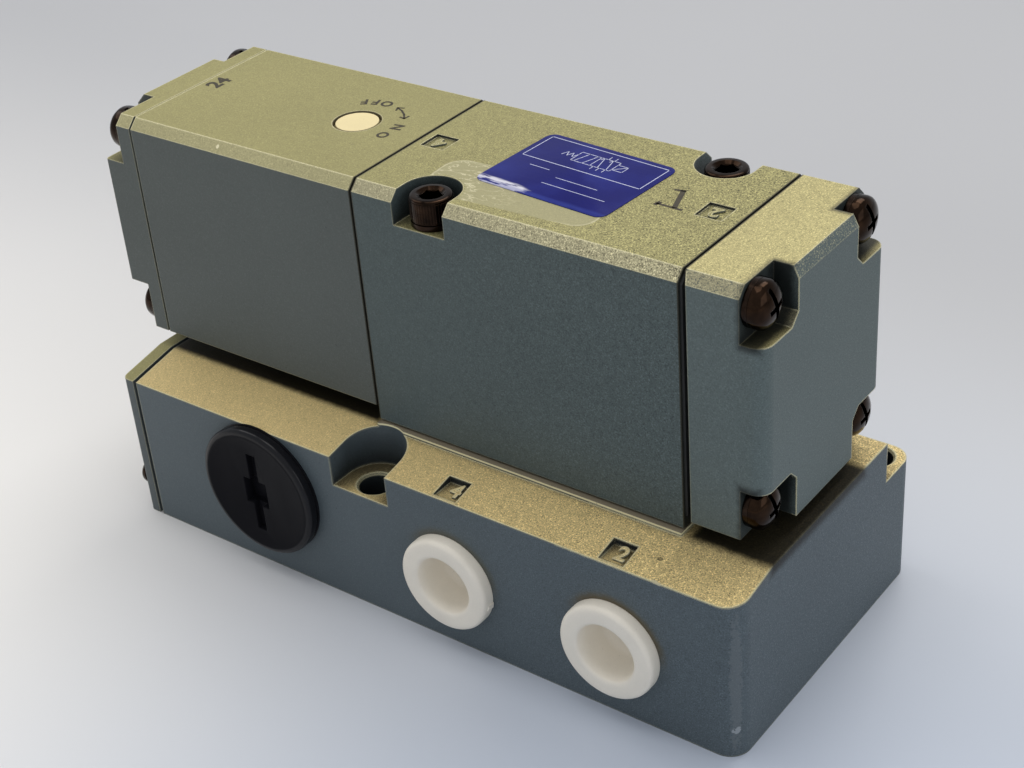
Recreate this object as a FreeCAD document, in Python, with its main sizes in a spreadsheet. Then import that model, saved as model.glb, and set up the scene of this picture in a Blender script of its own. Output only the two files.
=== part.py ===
import FreeCAD, Part
import os
import re

import Sketcher

# A base-mounted five-port solenoid valve: a ported subplate with a wiring compartment, and on it
# a spool valve with its solenoid at the left and its end cap at the right.
# Frame: X runs along the valve to the end cap, Y from front to back, Z up. The origin is the
# centre of the subplate's underside. All sizes are in millimetres.

# Driving sizes

SIZES = {
    # Subplate casting
    "base_length": 150.0,
    "base_width": 69.0,
    "base_front_height": 35.1,
    "deck_height": 37.4,
    "slope_run": 12.1,
    "base_corner_radius": 4.4,
    "pad_rise": 0.6,
    "pad_margin": 1.0,
    # Mounting pockets and their holes
    "mount_hole_radius": 3.5,
    "mount_pocket_radius": 7.2,
    "mount_floor_height": 28.2,
    "mount_edge": 5.0,
    "front_mount_x": 62.9,
    "rear_mount_from_end": 5.9,
    "mount_bevel": 0.5,
    # Ports and the passages that lead up to the valve
    "port_radius": 7.48,
    "port_height": 16.0,
    "port_a_x": 84.7,
    "port_b_x": 123.1,
    "port_depth": 32.0,
    "rear_port_pitch": 28.8,
    "rear_port_depth": 30.0,
    "passage_radius": 3.5,
    "passage_offset": 5.0,
    "gallery_radius": 4.0,
    "gallery_offset": 6.5,
    # Wiring compartment and its cover
    "compartment_depth": 48.0,
    "compartment_wall": 7.0,
    "compartment_floor": 5.0,
    "compartment_roof": 6.4,
    "conduit_radius": 10.3,
    "conduit_x": 35.6,
    "conduit_height": 20.6,
    "cover_seal_thickness": 1.0,
    "terminal_cover_thickness": 3.2,
    "cover_screw_radius": 1.75,
    "cover_screw_head_radius": 3.1,
    "cover_screw_head_height": 2.2,
    "cover_screw_depth": 7.0,
    "cover_screw_height": 8.4,
    "cover_edge_radius": 1.4,
    # Plugs in the conduit entry and the two front ports
    "conduit_plug_radius": 15.3,
    "conduit_plug_flange": 3.0,
    "conduit_plug_length": 8.0,
    "plug_wall": 1.8,
    "plug_slot_length": 19.0,
    "plug_slot_width": 2.4,
    "plug_slot_depth": 1.6,
    "plug_socket": 6.2,
    "plug_ring_wire": 0.8,
    "port_plug_radius": 10.4,
    "port_plug_flange": 3.0,
    "port_plug_length": 9.0,
    "port_plug_hole_radius": 6.3,
    "port_plug_bottom": 1.4,
    "plug_rim_radius": 0.7,
    # Valve housings
    "valve_width": 44.0,
    "body_height": 53.1,
    "bore_height": 27.0,
    "solenoid_overhang": 0.5,
    "solenoid_length": 59.3,
    "body_length": 72.2,
    "cap_length": 16.2,
    "solenoid_clearance": 4.1,
    "cap_clearance": 3.0,
    "gasket_thickness": 0.5,
    "gasket_inset": 0.6,
    "joint_relief_width": 1.0,
    "joint_relief_depth": 1.6,
    "top_chamfer": 2.0,
    "cap_edge_radius": 3.0,
    "cap_end_chamfer_depth": 1.1,
    "cap_end_chamfer_height": 2.2,
    "cover_flange": 3.8,
    "cover_block": 5.4,
    "cover_end_chamfer": 2.4,
    "notch_depth": 4.9,
    "notch_width": 11.4,
    "notch_height": 10.6,
    "notch_corner": 2.2,
    # Pan head screws at the corners of both covers
    "corner_screw_radius": 2.5,
    "corner_screw_side": 4.8,
    "corner_screw_top": 4.6,
    "corner_screw_foot": 4.3,
    "corner_head_radius": 4.5,
    "corner_head_height": 3.3,
    "corner_dome": 2.3,
    "corner_washer_radius": 4.6,
    "corner_washer_thickness": 1.2,
    "corner_thread_depth": 6.5,
    "cross_arm": 2.3,
    "cross_width": 1.2,
    "cross_depth": 1.8,
    "slot_width": 0.9,
    "slot_depth": 1.1,
    "slot_turn": 15.5,
    # Socket head screws that hold the valve on the subplate
    "left_bolt_inset": 15.85,
    "right_bolt_inset": 13.85,
    "bolt_side": 4.6,
    "bolt_radius": 2.5,
    "bolt_head_radius": 4.25,
    "bolt_head_height": 5.0,
    "bolt_socket": 4.0,
    "bolt_socket_depth": 2.8,
    "bolt_thread_depth": 11.0,
    "bolt_recess_radius": 6.05,
    "bolt_recess_depth": 6.7,
    "bolt_washer_thickness": 1.2,
    # Spool, sleeve and return spring
    "sleeve_radius": 12.9,
    "spool_radius": 8.0,
    "spool_waist_radius": 4.5,
    "stroke": 3.0,
    "window_pitch": 9.0,
    "window_width": 4.0,
    "window_height": 7.0,
    "land_lap": 0.5,
    "spool_left_end": 2.7,
    "spool_right_end": 6.5,
    "spool_neck_radius": 3.5,
    "spool_neck_length": 3.0,
    "seat_radius": 6.4,
    "seat_thickness": 1.2,
    "spring_wire": 0.6,
    "spring_radius": 5.2,
    "spring_turns": 5.5,
    "spring_pocket_depth": 12.0,
    "spring_pocket_radius": 7.0,
    "ring_groove_width": 2.2,
    "ring_groove_depth": 1.4,
    "ring_wire": 0.72,
    # Solenoid coil, its iron circuit and the push pin
    "coil_space_radius": 18.7,
    "coil_space_depth": 37.5,
    "pin_space_radius": 16.0,
    "housing_end_wall": 7.0,
    "yoke_start": 6.0,
    "yoke_radius": 18.6,
    "yoke_wall": 2.0,
    "yoke_plate": 3.0,
    "core_radius": 6.3,
    "core_length": 15.5,
    "plunger_length": 15.0,
    "tube_wall": 0.4,
    "tube_end": 1.0,
    "cover_boss_radius": 12.0,
    "bobbin_wall": 1.2,
    "winding_radius": 15.8,
    "pin_radius": 2.2,
    "collar_radius": 7.0,
    "collar_thickness": 3.4,
    # Manual override
    "override_x": 42.5,
    "override_radius": 4.4,
    "override_ring_radius": 5.0,
    "override_ring_depth": 1.2,
    "override_sink": 0.15,
    "override_grip": 8.8,
    "override_stem_radius": 3.6,
    "override_foot": 7.9,
    "override_groove_depth": 0.95,
    "override_groove_width": 1.3,
    "override_throw": 2.1,
    "override_pin_radius": 1.4,
    "override_pin_length": 4.9,
    "override_ring_wire": 0.44,
    "override_clip_radius": 5.0,
    "override_clip_thickness": 0.6,
    "override_clip_depth": 11.0,
    # Electrical plug between the coil and the wiring compartment
    "plug_x": 25.0,
    "plug_length": 12.0,
    "plug_width": 11.4,
    "plug_reach": 2.5,
    "seal_wall": 3.0,
    "contact_width": 2.4,
    "contact_thickness": 0.8,
    "contact_pitch": 3.6,
    "block_length": 24.0,
    "block_width": 30.0,
    "block_height": 12.0,
    "block_bay_width": 7.0,
    "block_bay_pitch": 9.0,
    "block_bay_depth": 4.0,
    "terminal_screw_radius": 1.5,
    "terminal_head_radius": 2.6,
    "terminal_head_height": 1.6,
    # Markings and the name plate
    "mark_size": 5.4,
    "mark_depth": 0.5,
    "port_mark_edge": 3.4,
    "left_mark_x": 4.4,
    "right_mark_x": 5.8,
    "plate_length": 30.4,
    "plate_width": 23.2,
    "plate_thickness": 0.2,
    "plate_corner": 2.0,
    "plate_x": 36.0,
    "plate_y": 0.6,
    "plate_skew": -4.3,
    # Clearances
    "slide_gap": 0.03,
    "guide_gap": 0.05,
    "thread_gap": 0.05,
    "hole_gap": 0.25,
    "fit_gap": 0.1,
    "loose_gap": 0.3,
    "cam_gap": 0.1,
}

doc = FreeCAD.newDocument("solenoid_valve")
sheet = doc.addObject("Spreadsheet::Sheet", "Sizes")
for row, (alias, number) in enumerate(SIZES.items(), start=1):
    sheet.set(f"A{row}", alias)
    sheet.set(f"B{row}", str(number))
    sheet.setAlias(f"B{row}", alias)
doc.recompute()

WORD = re.compile(r"[a-z][a-z_]*")


def bind(formula):
    """Point every size named in a formula at its cell."""
    return WORD.sub(lambda word: f"Sizes.{word[0]}" if word[0] in SIZES else word[0], str(formula))


def value(formula):
    """The number that a formula of the sizes gives."""
    result = sheet.evalExpression(bind(formula))
    return float(getattr(result, "Value", result))


def vector(x, y, z=0.0):
    return FreeCAD.Vector(x, y, z)


# Places worked out from the sizes

LEFT = "(0 - base_length / 2)"
RIGHT = "(base_length / 2)"
FRONT = "(0 - base_width / 2)"
BACK = "(base_width / 2)"
PAD_TOP = "(deck_height + pad_rise)"
BODY_BOTTOM = f"({PAD_TOP} + gasket_thickness)"
TOP = f"({BODY_BOTTOM} + body_height)"
AXIS = f"({BODY_BOTTOM} + bore_height)"
HOUSING_BOTTOM = "(deck_height + solenoid_clearance)"
CAP_BOTTOM = "(deck_height + cap_clearance)"
SIDE = "(valve_width / 2)"

HOUSING_START = f"({LEFT} - solenoid_overhang)"
HOUSING_END = f"({HOUSING_START} + solenoid_length)"
BODY_START = f"({HOUSING_END} + gasket_thickness)"
BODY_END = f"({BODY_START} + body_length)"
BODY_MIDDLE = f"({BODY_START} + body_length / 2)"
CAP_START = f"({BODY_END} + gasket_thickness)"
CAP_END = f"({CAP_START} + cap_length)"
CAP_FLOOR = f"({CAP_END} - notch_depth)"
COVER_INNER = f"({HOUSING_START} - gasket_thickness)"
COVER_FLOOR = f"({COVER_INNER} - cover_flange)"
COVER_OUTER = f"({COVER_FLOOR} - cover_block)"

FRONT_MOUNT = (f"({LEFT} + front_mount_x)", f"({FRONT} + mount_edge)")
REAR_MOUNT = (f"({RIGHT} - rear_mount_from_end)", f"({BACK} - mount_edge)")
PORT_A = f"({LEFT} + port_a_x)"
PORT_B = f"({LEFT} + port_b_x)"
CONDUIT = f"({LEFT} + conduit_x)"
BOLTS = (
    (f"({BODY_START} + left_bolt_inset)", f"(bolt_side - {SIDE})"),
    (f"({BODY_END} - right_bolt_inset)", f"({SIDE} - bolt_side)"),
)
RECESS_FLOOR = f"({TOP} - bolt_recess_depth)"

SCREW_SIDE = f"({SIDE} - corner_screw_side)"
SCREW_TOP = f"({TOP} - corner_screw_top)"
SCREW_FOOT = f"({HOUSING_BOTTOM} + corner_screw_foot)"
CORNERS = [(side + SCREW_SIDE, level) for side in ("0 - ", "") for level in (SCREW_TOP, SCREW_FOOT)]

WINDOWS = [f"({BODY_MIDDLE} + {step} * window_pitch)" for step in (-2, -1, 0, 1, 2)]
FRONT_WINDOWS = WINDOWS[1::2]
REAR_WINDOWS = WINDOWS[0::2]
PASSAGES = [(x, "(0 - passage_offset)") for x in FRONT_WINDOWS]
PASSAGES += [(x, "passage_offset") for x in REAR_WINDOWS]
REAR_PORTS = [f"({BODY_MIDDLE} + {step} * rear_port_pitch)" for step in (-1, 0, 1)]

SPOOL_LEFT = f"({BODY_START} + spool_left_end)"
SPOOL_RIGHT = f"({BODY_END} - spool_right_end)"
SEAT_FACE = f"({SPOOL_RIGHT} + seat_thickness)"
SPRING_END = f"({CAP_START} + spring_pocket_depth)"

YOKE_START = f"({HOUSING_START} + yoke_start)"
YOKE_END = f"({HOUSING_START} + coil_space_depth)"
PIN_SPACE_END = f"({HOUSING_END} - housing_end_wall)"
TUBE_RADIUS = "(core_radius + guide_gap + tube_wall)"
CORE_LEFT = f"({YOKE_END} - core_length)"
PLUNGER_RIGHT = f"({CORE_LEFT} - stroke - fit_gap)"
PLUNGER_LEFT = f"({PLUNGER_RIGHT} - plunger_length)"
TUBE_LEFT = f"({PLUNGER_LEFT} - fit_gap - tube_end)"
BOBBIN_START = f"({YOKE_START} + yoke_plate + fit_gap)"
BOBBIN_END = f"({YOKE_END} - yoke_plate - fit_gap)"

OVERRIDE = f"({LEFT} + override_x)"
OVERRIDE_TOP = f"({TOP} - override_sink)"
OVERRIDE_FOOT = f"({AXIS} + override_foot)"
# The eccentric pin swings a quarter turn about the middle of its throw, so it moves almost evenly.
CAM_REACH = "(override_throw * sqrt(0.5))"
COLLAR_LEFT = f"({OVERRIDE} - {CAM_REACH} + override_pin_radius + cam_gap)"

PLUG_X = f"({LEFT} + plug_x)"
COMPARTMENT_ROOF = "(deck_height - compartment_roof)"
PLUG_FOOT = f"({COMPARTMENT_ROOF} - plug_reach)"
BLOCK_TOP = "(compartment_floor + block_height)"
COVER_SEAL_FACE = f"({LEFT} - cover_seal_thickness)"
TERMINAL_COVER_FACE = f"({COVER_SEAL_FACE} - terminal_cover_thickness)"
COVER_SCREWS = (
    (f"({FRONT} + compartment_wall / 2)", "cover_screw_height"),
    (f"({BACK} - compartment_wall / 2)", "(base_front_height - cover_screw_height)"),
)


# Drawing and feature helpers


def new_body(label):
    body = doc.addObject("PartDesign::Body", label)
    body.Label = label
    body.AllowCompound = True
    return body


def sketch_on(body, plane, away="0", up="0", across="0"):
    """A sketch on one of the body's own planes, moved away along its normal and over in it."""
    sketch = body.newObject("Sketcher::SketchObject", f"{body.Label}_sketch")
    support = [item for item in body.Origin.OriginFeatures if item.Role == plane]
    sketch.AttachmentSupport = [(support[0], "")]
    sketch.MapMode = "FlatFace"
    sketch.setExpression("AttachmentOffset.Base.x", bind(across))
    sketch.setExpression("AttachmentOffset.Base.y", bind(up))
    sketch.setExpression("AttachmentOffset.Base.z", bind(away))
    return sketch


def pin_point(sketch, curve, end, u, v):
    for kind, formula in (("DistanceX", u), ("DistanceY", v)):
        rule = Sketcher.Constraint(kind, -1, 1, curve, end, value(formula))
        index = sketch.addConstraint(rule)
        sketch.setExpression(f"Constraints[{index}]", bind(formula))


def circle(sketch, u, v, radius):
    shape = Part.Circle(vector(value(u), value(v)), vector(0, 0, 1), value(radius))
    curve = sketch.addGeometry(shape, False)
    pin_point(sketch, curve, 3, u, v)
    index = sketch.addConstraint(Sketcher.Constraint("Radius", curve, value(radius)))
    sketch.setExpression(f"Constraints[{index}]", bind(radius))


def outline(sketch, corners):
    """A closed outline of straight edges, each corner held by formulas of the sizes."""
    points = [vector(value(u), value(v)) for u, v in corners]
    first = sketch.GeometryCount
    for number, point in enumerate(points):
        following = points[(number + 1) % len(points)]
        sketch.addGeometry(Part.LineSegment(point, following), False)
    for number, (u, v) in enumerate(corners):
        before = first + (number - 1) % len(points)
        sketch.addConstraint(Sketcher.Constraint("Coincident", before, 2, first + number, 1))
        pin_point(sketch, first + number, 1, u, v)


def rectangle(sketch, u_low, v_low, u_high, v_high):
    outline(sketch, [(u_low, v_low), (u_high, v_low), (u_high, v_high), (u_low, v_high)])


def centred_rectangle(sketch, u, v, length, height):
    half_length = f"({length}) / 2"
    half_height = f"({height}) / 2"
    rectangle(
        sketch,
        f"{u} - {half_length}",
        f"{v} - {half_height}",
        f"{u} + {half_length}",
        f"{v} + {half_height}",
    )


def settle(body, feature, adds):
    """Recompute, and stop if the feature failed or changed the solid the wrong way."""
    before = body.Tip.Shape.Volume if body.Tip and not body.Tip.Shape.isNull() else 0.0
    body.Tip = feature
    doc.recompute()
    if "Invalid" in feature.State or "Error" in feature.State or feature.Shape.isNull():
        raise RuntimeError(f"{feature.Label} failed")
    gained = feature.Shape.Volume - before
    if (gained <= 0.0) == adds:
        raise RuntimeError(f"{feature.Label} changed the volume by {gained:.3f}")
    return feature


def new_feature(body, kind, sketch):
    earlier = body.Tip
    feature = body.newObject(f"PartDesign::{kind}", f"{body.Label}_{kind.lower()}")
    feature.Profile = sketch
    body.Tip = earlier
    return feature


def pad(body, sketch, length, backwards=False):
    feature = new_feature(body, "Pad", sketch)
    feature.setExpression("Length", bind(length))
    feature.Reversed = backwards
    return settle(body, feature, adds=True)


def pocket(body, sketch, length, forwards=False):
    """A cut that goes against the sketch's normal, or along it where forwards is set."""
    feature = new_feature(body, "Pocket", sketch)
    feature.setExpression("Length", bind(length))
    feature.Reversed = forwards
    return settle(body, feature, adds=False)


def revolve(body, sketch, axis="H_Axis"):
    feature = new_feature(body, "Revolution", sketch)
    feature.ReferenceAxis = (sketch, [axis])
    feature.Angle = 360.0
    return settle(body, feature, adds=True)


def groove(body, sketch, axis="H_Axis"):
    feature = new_feature(body, "Groove", sketch)
    feature.ReferenceAxis = (sketch, [axis])
    feature.Angle = 360.0
    return settle(body, feature, adds=False)


def edges_where(shape, wanted):
    names = [f"Edge{number}" for number, edge in enumerate(shape.Edges, start=1) if wanted(edge)]
    if not names:
        raise RuntimeError("no edge was found to round or bevel")
    return names


def is_along(edge, axis):
    """Whether a straight edge runs along the axis, given as 0, 1 or 2 for X, Y or Z."""
    if not isinstance(edge.Curve, Part.Line):
        return False
    return abs(abs(edge.Curve.Direction[axis]) - 1.0) < 1e-6


def is_near(edge, **place):
    """Whether the middle of an edge's box has the given coordinates."""
    centre = edge.BoundBox.Center
    return all(abs(getattr(centre, axis) - number) < 0.02 for axis, number in place.items())


def fillet(body, radius, wanted):
    names = edges_where(body.Tip.Shape, wanted)
    earlier = body.Tip
    feature = body.newObject("PartDesign::Fillet", f"{body.Label}_fillet")
    feature.Base = (earlier, names)
    feature.setExpression("Radius", bind(radius))
    body.Tip = earlier
    return settle(body, feature, adds=False)


def chamfer(body, size, wanted):
    names = edges_where(body.Tip.Shape, wanted)
    earlier = body.Tip
    feature = body.newObject("PartDesign::Chamfer", f"{body.Label}_chamfer")
    feature.Base = (earlier, names)
    feature.setExpression("Size", bind(size))
    body.Tip = earlier
    return settle(body, feature, adds=False)


def turned(label, corners, x, y=None, z=None, axis="X"):
    """A turned piece: the outline's first value runs along the axis, its second is the radius."""
    body = new_body(label)
    if axis == "X":
        sketch = sketch_on(body, "XZ_Plane", up=z or AXIS)
        outline(sketch, corners)
        revolve(body, sketch, "H_Axis")
    elif axis == "Y":
        sketch = sketch_on(body, "YZ_Plane", away=x, up=z)
        outline(sketch, corners)
        revolve(body, sketch, "H_Axis")
    else:
        sketch = sketch_on(body, "XZ_Plane", away=f"0 - {y}", across=x)
        outline(sketch, [(radius, level) for level, radius in corners])
        revolve(body, sketch, "V_Axis")
    return body


def ring_corners(start, end, inner, outer):
    return [(start, inner), (end, inner), (end, outer), (start, outer)]


def valve_section(sketch, bottom, inset="0", top_corner="top_chamfer"):
    """The outline that the housings share across the valve, with its two bevelled top edges."""
    side = f"({SIDE} - {inset})"
    top = f"({TOP} - {inset})"
    low = f"({bottom} + {inset})"
    outline(
        sketch,
        [
            (f"0 - {side}", low),
            (side, low),
            (side, f"{top} - {top_corner}"),
            (f"{side} - {top_corner}", top),
            (f"{top_corner} - {side}", top),
            (f"0 - {side}", f"{top} - {top_corner}"),
        ],
    )


def base_section(sketch, inset="0"):
    """The subplate's outline across its width, with its two sloping shoulders."""
    side = f"({BACK} - {inset})"
    shoulder = f"({BACK} - slope_run)"
    outline(
        sketch,
        [
            (f"0 - {side}", inset),
            (side, inset),
            (side, f"base_front_height - {inset}"),
            (shoulder, f"deck_height - {inset}"),
            (f"0 - {shoulder}", f"deck_height - {inset}"),
            (f"0 - {side}", f"base_front_height - {inset}"),
        ],
    )


def corner_circles(sketch, radius):
    for u, v in CORNERS:
        circle(sketch, u, v, radius)


def notch_outlines(sketch, bottom):
    """Four corner notches, each with its inner corner cut off."""
    over = "1"
    for sign in ("0 - ", ""):
        outer = f"{sign}({SIDE} + {over})"
        inner = f"{sign}({SIDE} - notch_width)"
        eased = f"{sign}({SIDE} - notch_width + notch_corner)"
        levels = (
            (f"({TOP} + {over})", f"({TOP} - notch_height)", "+ notch_corner"),
            (f"({bottom} - {over})", f"({bottom} + notch_height)", "- notch_corner"),
        )
        for outside, inside, back in levels:
            corners = [(outer, outside), (inner, outside), (inner, f"{inside} {back}")]
            corners += [(eased, inside), (outer, inside)]
            outline(sketch, corners)


# Subplate


def make_subplate():
    body = new_body("subplate")
    sketch = sketch_on(body, "YZ_Plane", away=LEFT)
    base_section(sketch)
    pad(body, sketch, "base_length")
    right = value(RIGHT)
    fillet(body, "base_corner_radius", lambda edge: is_along(edge, 2) and is_near(edge, x=right))

    sketch = sketch_on(body, "XY_Plane", away="deck_height - pad_margin")
    reach = f"({SIDE} + pad_margin)"
    rectangle(sketch, BODY_START, f"0 - {reach}", BODY_END, reach)
    pad(body, sketch, "pad_rise + pad_margin")

    cut_mounts(body)
    cut_compartment(body)
    cut_ports(body)

    sketch = sketch_on(body, "XY_Plane", away=PAD_TOP)
    for x, y in BOLTS:
        circle(sketch, x, y, "bolt_radius + thread_gap")
    pocket(body, sketch, "bolt_thread_depth + loose_gap")

    sketch = sketch_on(body, "XY_Plane", away="deck_height")
    for x in (PORT_A, PORT_B):
        centred_rectangle(sketch, x, f"({FRONT} + port_mark_edge)", "mark_size", "mark_size")
    pocket(body, sketch, "deck_height - base_front_height + mark_depth / 2")
    return body


def cut_mounts(body):
    above = f"({PAD_TOP} + 1)"
    depth = f"{above} - mount_floor_height"
    front_x, front_y = FRONT_MOUNT
    rear_x, rear_y = REAR_MOUNT
    radius = "mount_pocket_radius"

    sketch = sketch_on(body, "XY_Plane", away=above)
    for x, y in (FRONT_MOUNT, REAR_MOUNT):
        circle(sketch, x, y, radius)
    pocket(body, sketch, depth)

    sketch = sketch_on(body, "XY_Plane", away=above)
    rectangle(sketch, f"{front_x} - {radius}", f"{FRONT} - 1", f"{front_x} + {radius}", front_y)
    corners = [
        (f"{rear_x} - {radius}", rear_y),
        (rear_x, rear_y),
        (rear_x, f"{rear_y} - {radius}"),
        (f"{RIGHT} + 1", f"{rear_y} - {radius}"),
        (f"{RIGHT} + 1", f"{BACK} + 1"),
        (f"{rear_x} - {radius}", f"{BACK} + 1"),
    ]
    outline(sketch, corners)
    pocket(body, sketch, depth)

    sketch = sketch_on(body, "XY_Plane", away="mount_floor_height")
    for x, y in (FRONT_MOUNT, REAR_MOUNT):
        circle(sketch, x, y, "mount_hole_radius")
    pocket(body, sketch, "mount_floor_height + 1")
    floor = value("mount_floor_height")
    rim = value("mount_hole_radius")
    chamfer(
        body,
        "mount_bevel",
        lambda edge: isinstance(edge.Curve, Part.Circle)
        and is_near(edge, z=floor)
        and abs(edge.Curve.Radius - rim) < 1e-4,
    )


def cut_compartment(body):
    sketch = sketch_on(body, "YZ_Plane", away=LEFT)
    wall = "compartment_wall"
    rectangle(sketch, f"{FRONT} + {wall}", "compartment_floor", f"{BACK} - {wall}", COMPARTMENT_ROOF)
    pocket(body, sketch, "compartment_depth", forwards=True)

    sketch = sketch_on(body, "YZ_Plane", away=LEFT)
    for y, z in COVER_SCREWS:
        circle(sketch, y, z, "cover_screw_radius + thread_gap")
    pocket(body, sketch, "cover_screw_depth + loose_gap", forwards=True)

    sketch = sketch_on(body, "XZ_Plane", away=f"0 - {FRONT}")
    circle(sketch, CONDUIT, "conduit_height", "conduit_radius")
    pocket(body, sketch, "compartment_wall + 1")

    sketch = sketch_on(body, "XY_Plane", away="deck_height")
    length = "plug_length + 2 * loose_gap"
    width = "plug_width + 2 * loose_gap"
    centred_rectangle(sketch, PLUG_X, "0", length, width)
    pocket(body, sketch, "compartment_roof + 1")


def cut_ports(body):
    sketch = sketch_on(body, "XZ_Plane", away=f"0 - {FRONT}")
    for x in (PORT_A, PORT_B):
        circle(sketch, x, "port_height", "port_radius")
    pocket(body, sketch, "port_depth")

    sketch = sketch_on(body, "XZ_Plane", away=f"0 - {BACK}")
    for x in REAR_PORTS:
        circle(sketch, x, "port_height", "port_radius")
    pocket(body, sketch, "rear_port_depth", forwards=True)

    sketch = sketch_on(body, "XY_Plane", away=PAD_TOP)
    for x, y in PASSAGES:
        circle(sketch, x, y, "passage_radius")
    pocket(body, sketch, f"{PAD_TOP} - port_height")

    galleries = (
        (FRONT_WINDOWS[1], PORT_B, "(0 - gallery_offset)"),
        (REAR_PORTS[0], REAR_WINDOWS[0], "gallery_offset"),
        (REAR_WINDOWS[2], REAR_PORTS[2], "gallery_offset"),
    )
    for start, end, y in galleries:
        sketch = sketch_on(body, "YZ_Plane", away=start)
        circle(sketch, y, "port_height", "gallery_radius")
        pocket(body, sketch, f"{end} - {start}", forwards=True)


def make_terminal_cover():
    body = new_body("terminal_cover")
    sketch = sketch_on(body, "YZ_Plane", away=COVER_SEAL_FACE)
    base_section(sketch)
    pad(body, sketch, "terminal_cover_thickness", backwards=True)
    face = value(TERMINAL_COVER_FACE)
    upright = lambda edge: is_along(edge, 2) and is_near(edge, x=face)
    fillet(body, "cover_edge_radius", upright)
    sketch = sketch_on(body, "YZ_Plane", away=COVER_SEAL_FACE)
    for y, z in COVER_SCREWS:
        circle(sketch, y, z, "cover_screw_radius + hole_gap")
    pocket(body, sketch, "terminal_cover_thickness + 1")

    body = new_body("terminal_cover_gasket")
    sketch = sketch_on(body, "YZ_Plane", away=LEFT)
    base_section(sketch, "gasket_inset")
    wall = "compartment_wall"
    rectangle(sketch, f"{FRONT} + {wall}", "compartment_floor", f"{BACK} - {wall}", COMPARTMENT_ROOF)
    for y, z in COVER_SCREWS:
        circle(sketch, y, z, "cover_screw_radius + hole_gap")
    pad(body, sketch, "cover_seal_thickness", backwards=True)

    body = new_body("terminal_cover_screws")
    sketch = sketch_on(body, "YZ_Plane", away=TERMINAL_COVER_FACE)
    for y, z in COVER_SCREWS:
        circle(sketch, y, z, "cover_screw_head_radius")
    pad(body, sketch, "cover_screw_head_height", backwards=True)
    top = value(f"{TERMINAL_COVER_FACE} - cover_screw_head_height")
    fillet(body, "cover_screw_head_height * 0.7", lambda edge: is_near(edge, x=top))
    sketch = sketch_on(body, "YZ_Plane", away=TERMINAL_COVER_FACE)
    for y, z in COVER_SCREWS:
        circle(sketch, y, z, "cover_screw_radius")
    shank = "terminal_cover_thickness + cover_seal_thickness + cover_screw_depth"
    pad(body, sketch, shank)
    cross_recess(body, top, COVER_SCREWS, "0.7", forwards=True)


def turned_outline(sketch, y, z, corners):
    """An outline about a screw's axis, turned by the angle at which the screws stand."""
    placed = []
    for u, v in corners:
        across = f"({u}) * cos(slot_turn) - ({v}) * sin(slot_turn)"
        up = f"({u}) * sin(slot_turn) + ({v}) * cos(slot_turn)"
        placed.append((f"({y}) - ({across})", f"({z}) + {up}"))
    outline(sketch, placed)


def cross_recess(body, face, places, share, forwards):
    """A cross recess with a slot across it in each screw head, cut in from the given face."""
    half = f"cross_width / 2 * {share}"
    reach = f"cross_arm * {share}"
    plus = [(half, half), (half, reach), (f"0 - {half}", reach), (f"0 - {half}", half)]
    plus += [(f"0 - {reach}", half), (f"0 - {reach}", f"0 - {half}")]
    plus += [(f"0 - {half}", f"0 - {half}"), (f"0 - {half}", f"0 - {reach}")]
    plus += [(half, f"0 - {reach}"), (half, f"0 - {half}")]
    plus += [(reach, f"0 - {half}"), (reach, half)]
    sketch = sketch_on(body, "YZ_Plane", away=str(face))
    for y, z in places:
        turned_outline(sketch, y, z, plus)
    pocket(body, sketch, f"cross_depth * {share}", forwards=forwards)

    side = f"slot_width / 2 * {share}"
    end = "corner_head_radius + 1"
    sketch = sketch_on(body, "YZ_Plane", away=str(face))
    for y, z in places:
        corners = [(f"0 - {side}", f"0 - ({end})"), (side, f"0 - ({end})")]
        corners += [(side, end), (f"0 - {side}", end)]
        turned_outline(sketch, y, z, corners)
    pocket(body, sketch, f"slot_depth * {share}", forwards=forwards)


def corner_screws(label, seat, shank_end, outwards):
    """Four pan head screws in one covers' corners, their heads out along X or against it."""
    sign = "+" if outwards else "-"
    body = new_body(label)
    head_foot = f"({seat} {sign} corner_washer_thickness)"
    sketch = sketch_on(body, "YZ_Plane", away=head_foot)
    corner_circles(sketch, "corner_head_radius")
    pad(body, sketch, "corner_head_height", backwards=not outwards)
    face = value(f"{head_foot} {sign} corner_head_height")
    fillet(body, "corner_dome", lambda edge: is_near(edge, x=face))
    sketch = sketch_on(body, "YZ_Plane", away=head_foot)
    corner_circles(sketch, "corner_screw_radius")
    low, high = sorted((head_foot, shank_end), key=value)
    pad(body, sketch, f"{high} - {low}", backwards=outwards)
    cross_recess(body, face, CORNERS, "1", forwards=not outwards)


def corner_washers(label, seat, outwards):
    """A split spring washer under the head of each corner screw."""
    sign = "+" if outwards else "-"
    body = new_body(label)
    sketch = sketch_on(body, "YZ_Plane", away=seat)
    corner_circles(sketch, "corner_washer_radius")
    corner_circles(sketch, "corner_screw_radius + hole_gap")
    pad(body, sketch, "corner_washer_thickness", backwards=not outwards)
    sketch = sketch_on(body, "YZ_Plane", away=f"{seat} {sign} corner_washer_thickness")
    half = "corner_washer_thickness / 4"
    for y, z in CORNERS:
        rectangle(sketch, f"{y} - {half}", z, f"{y} + {half}", f"{z} + corner_washer_radius + 1")
    pocket(body, sketch, "corner_washer_thickness", forwards=not outwards)


def drill(body, plane, away, places, radius, length, forwards=False):
    sketch = sketch_on(body, plane, away=away)
    for u, v in places:
        circle(sketch, u, v, radius)
    return pocket(body, sketch, length, forwards)


# Wiring compartment: terminal block, its screws and contacts, and the three plugs


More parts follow.
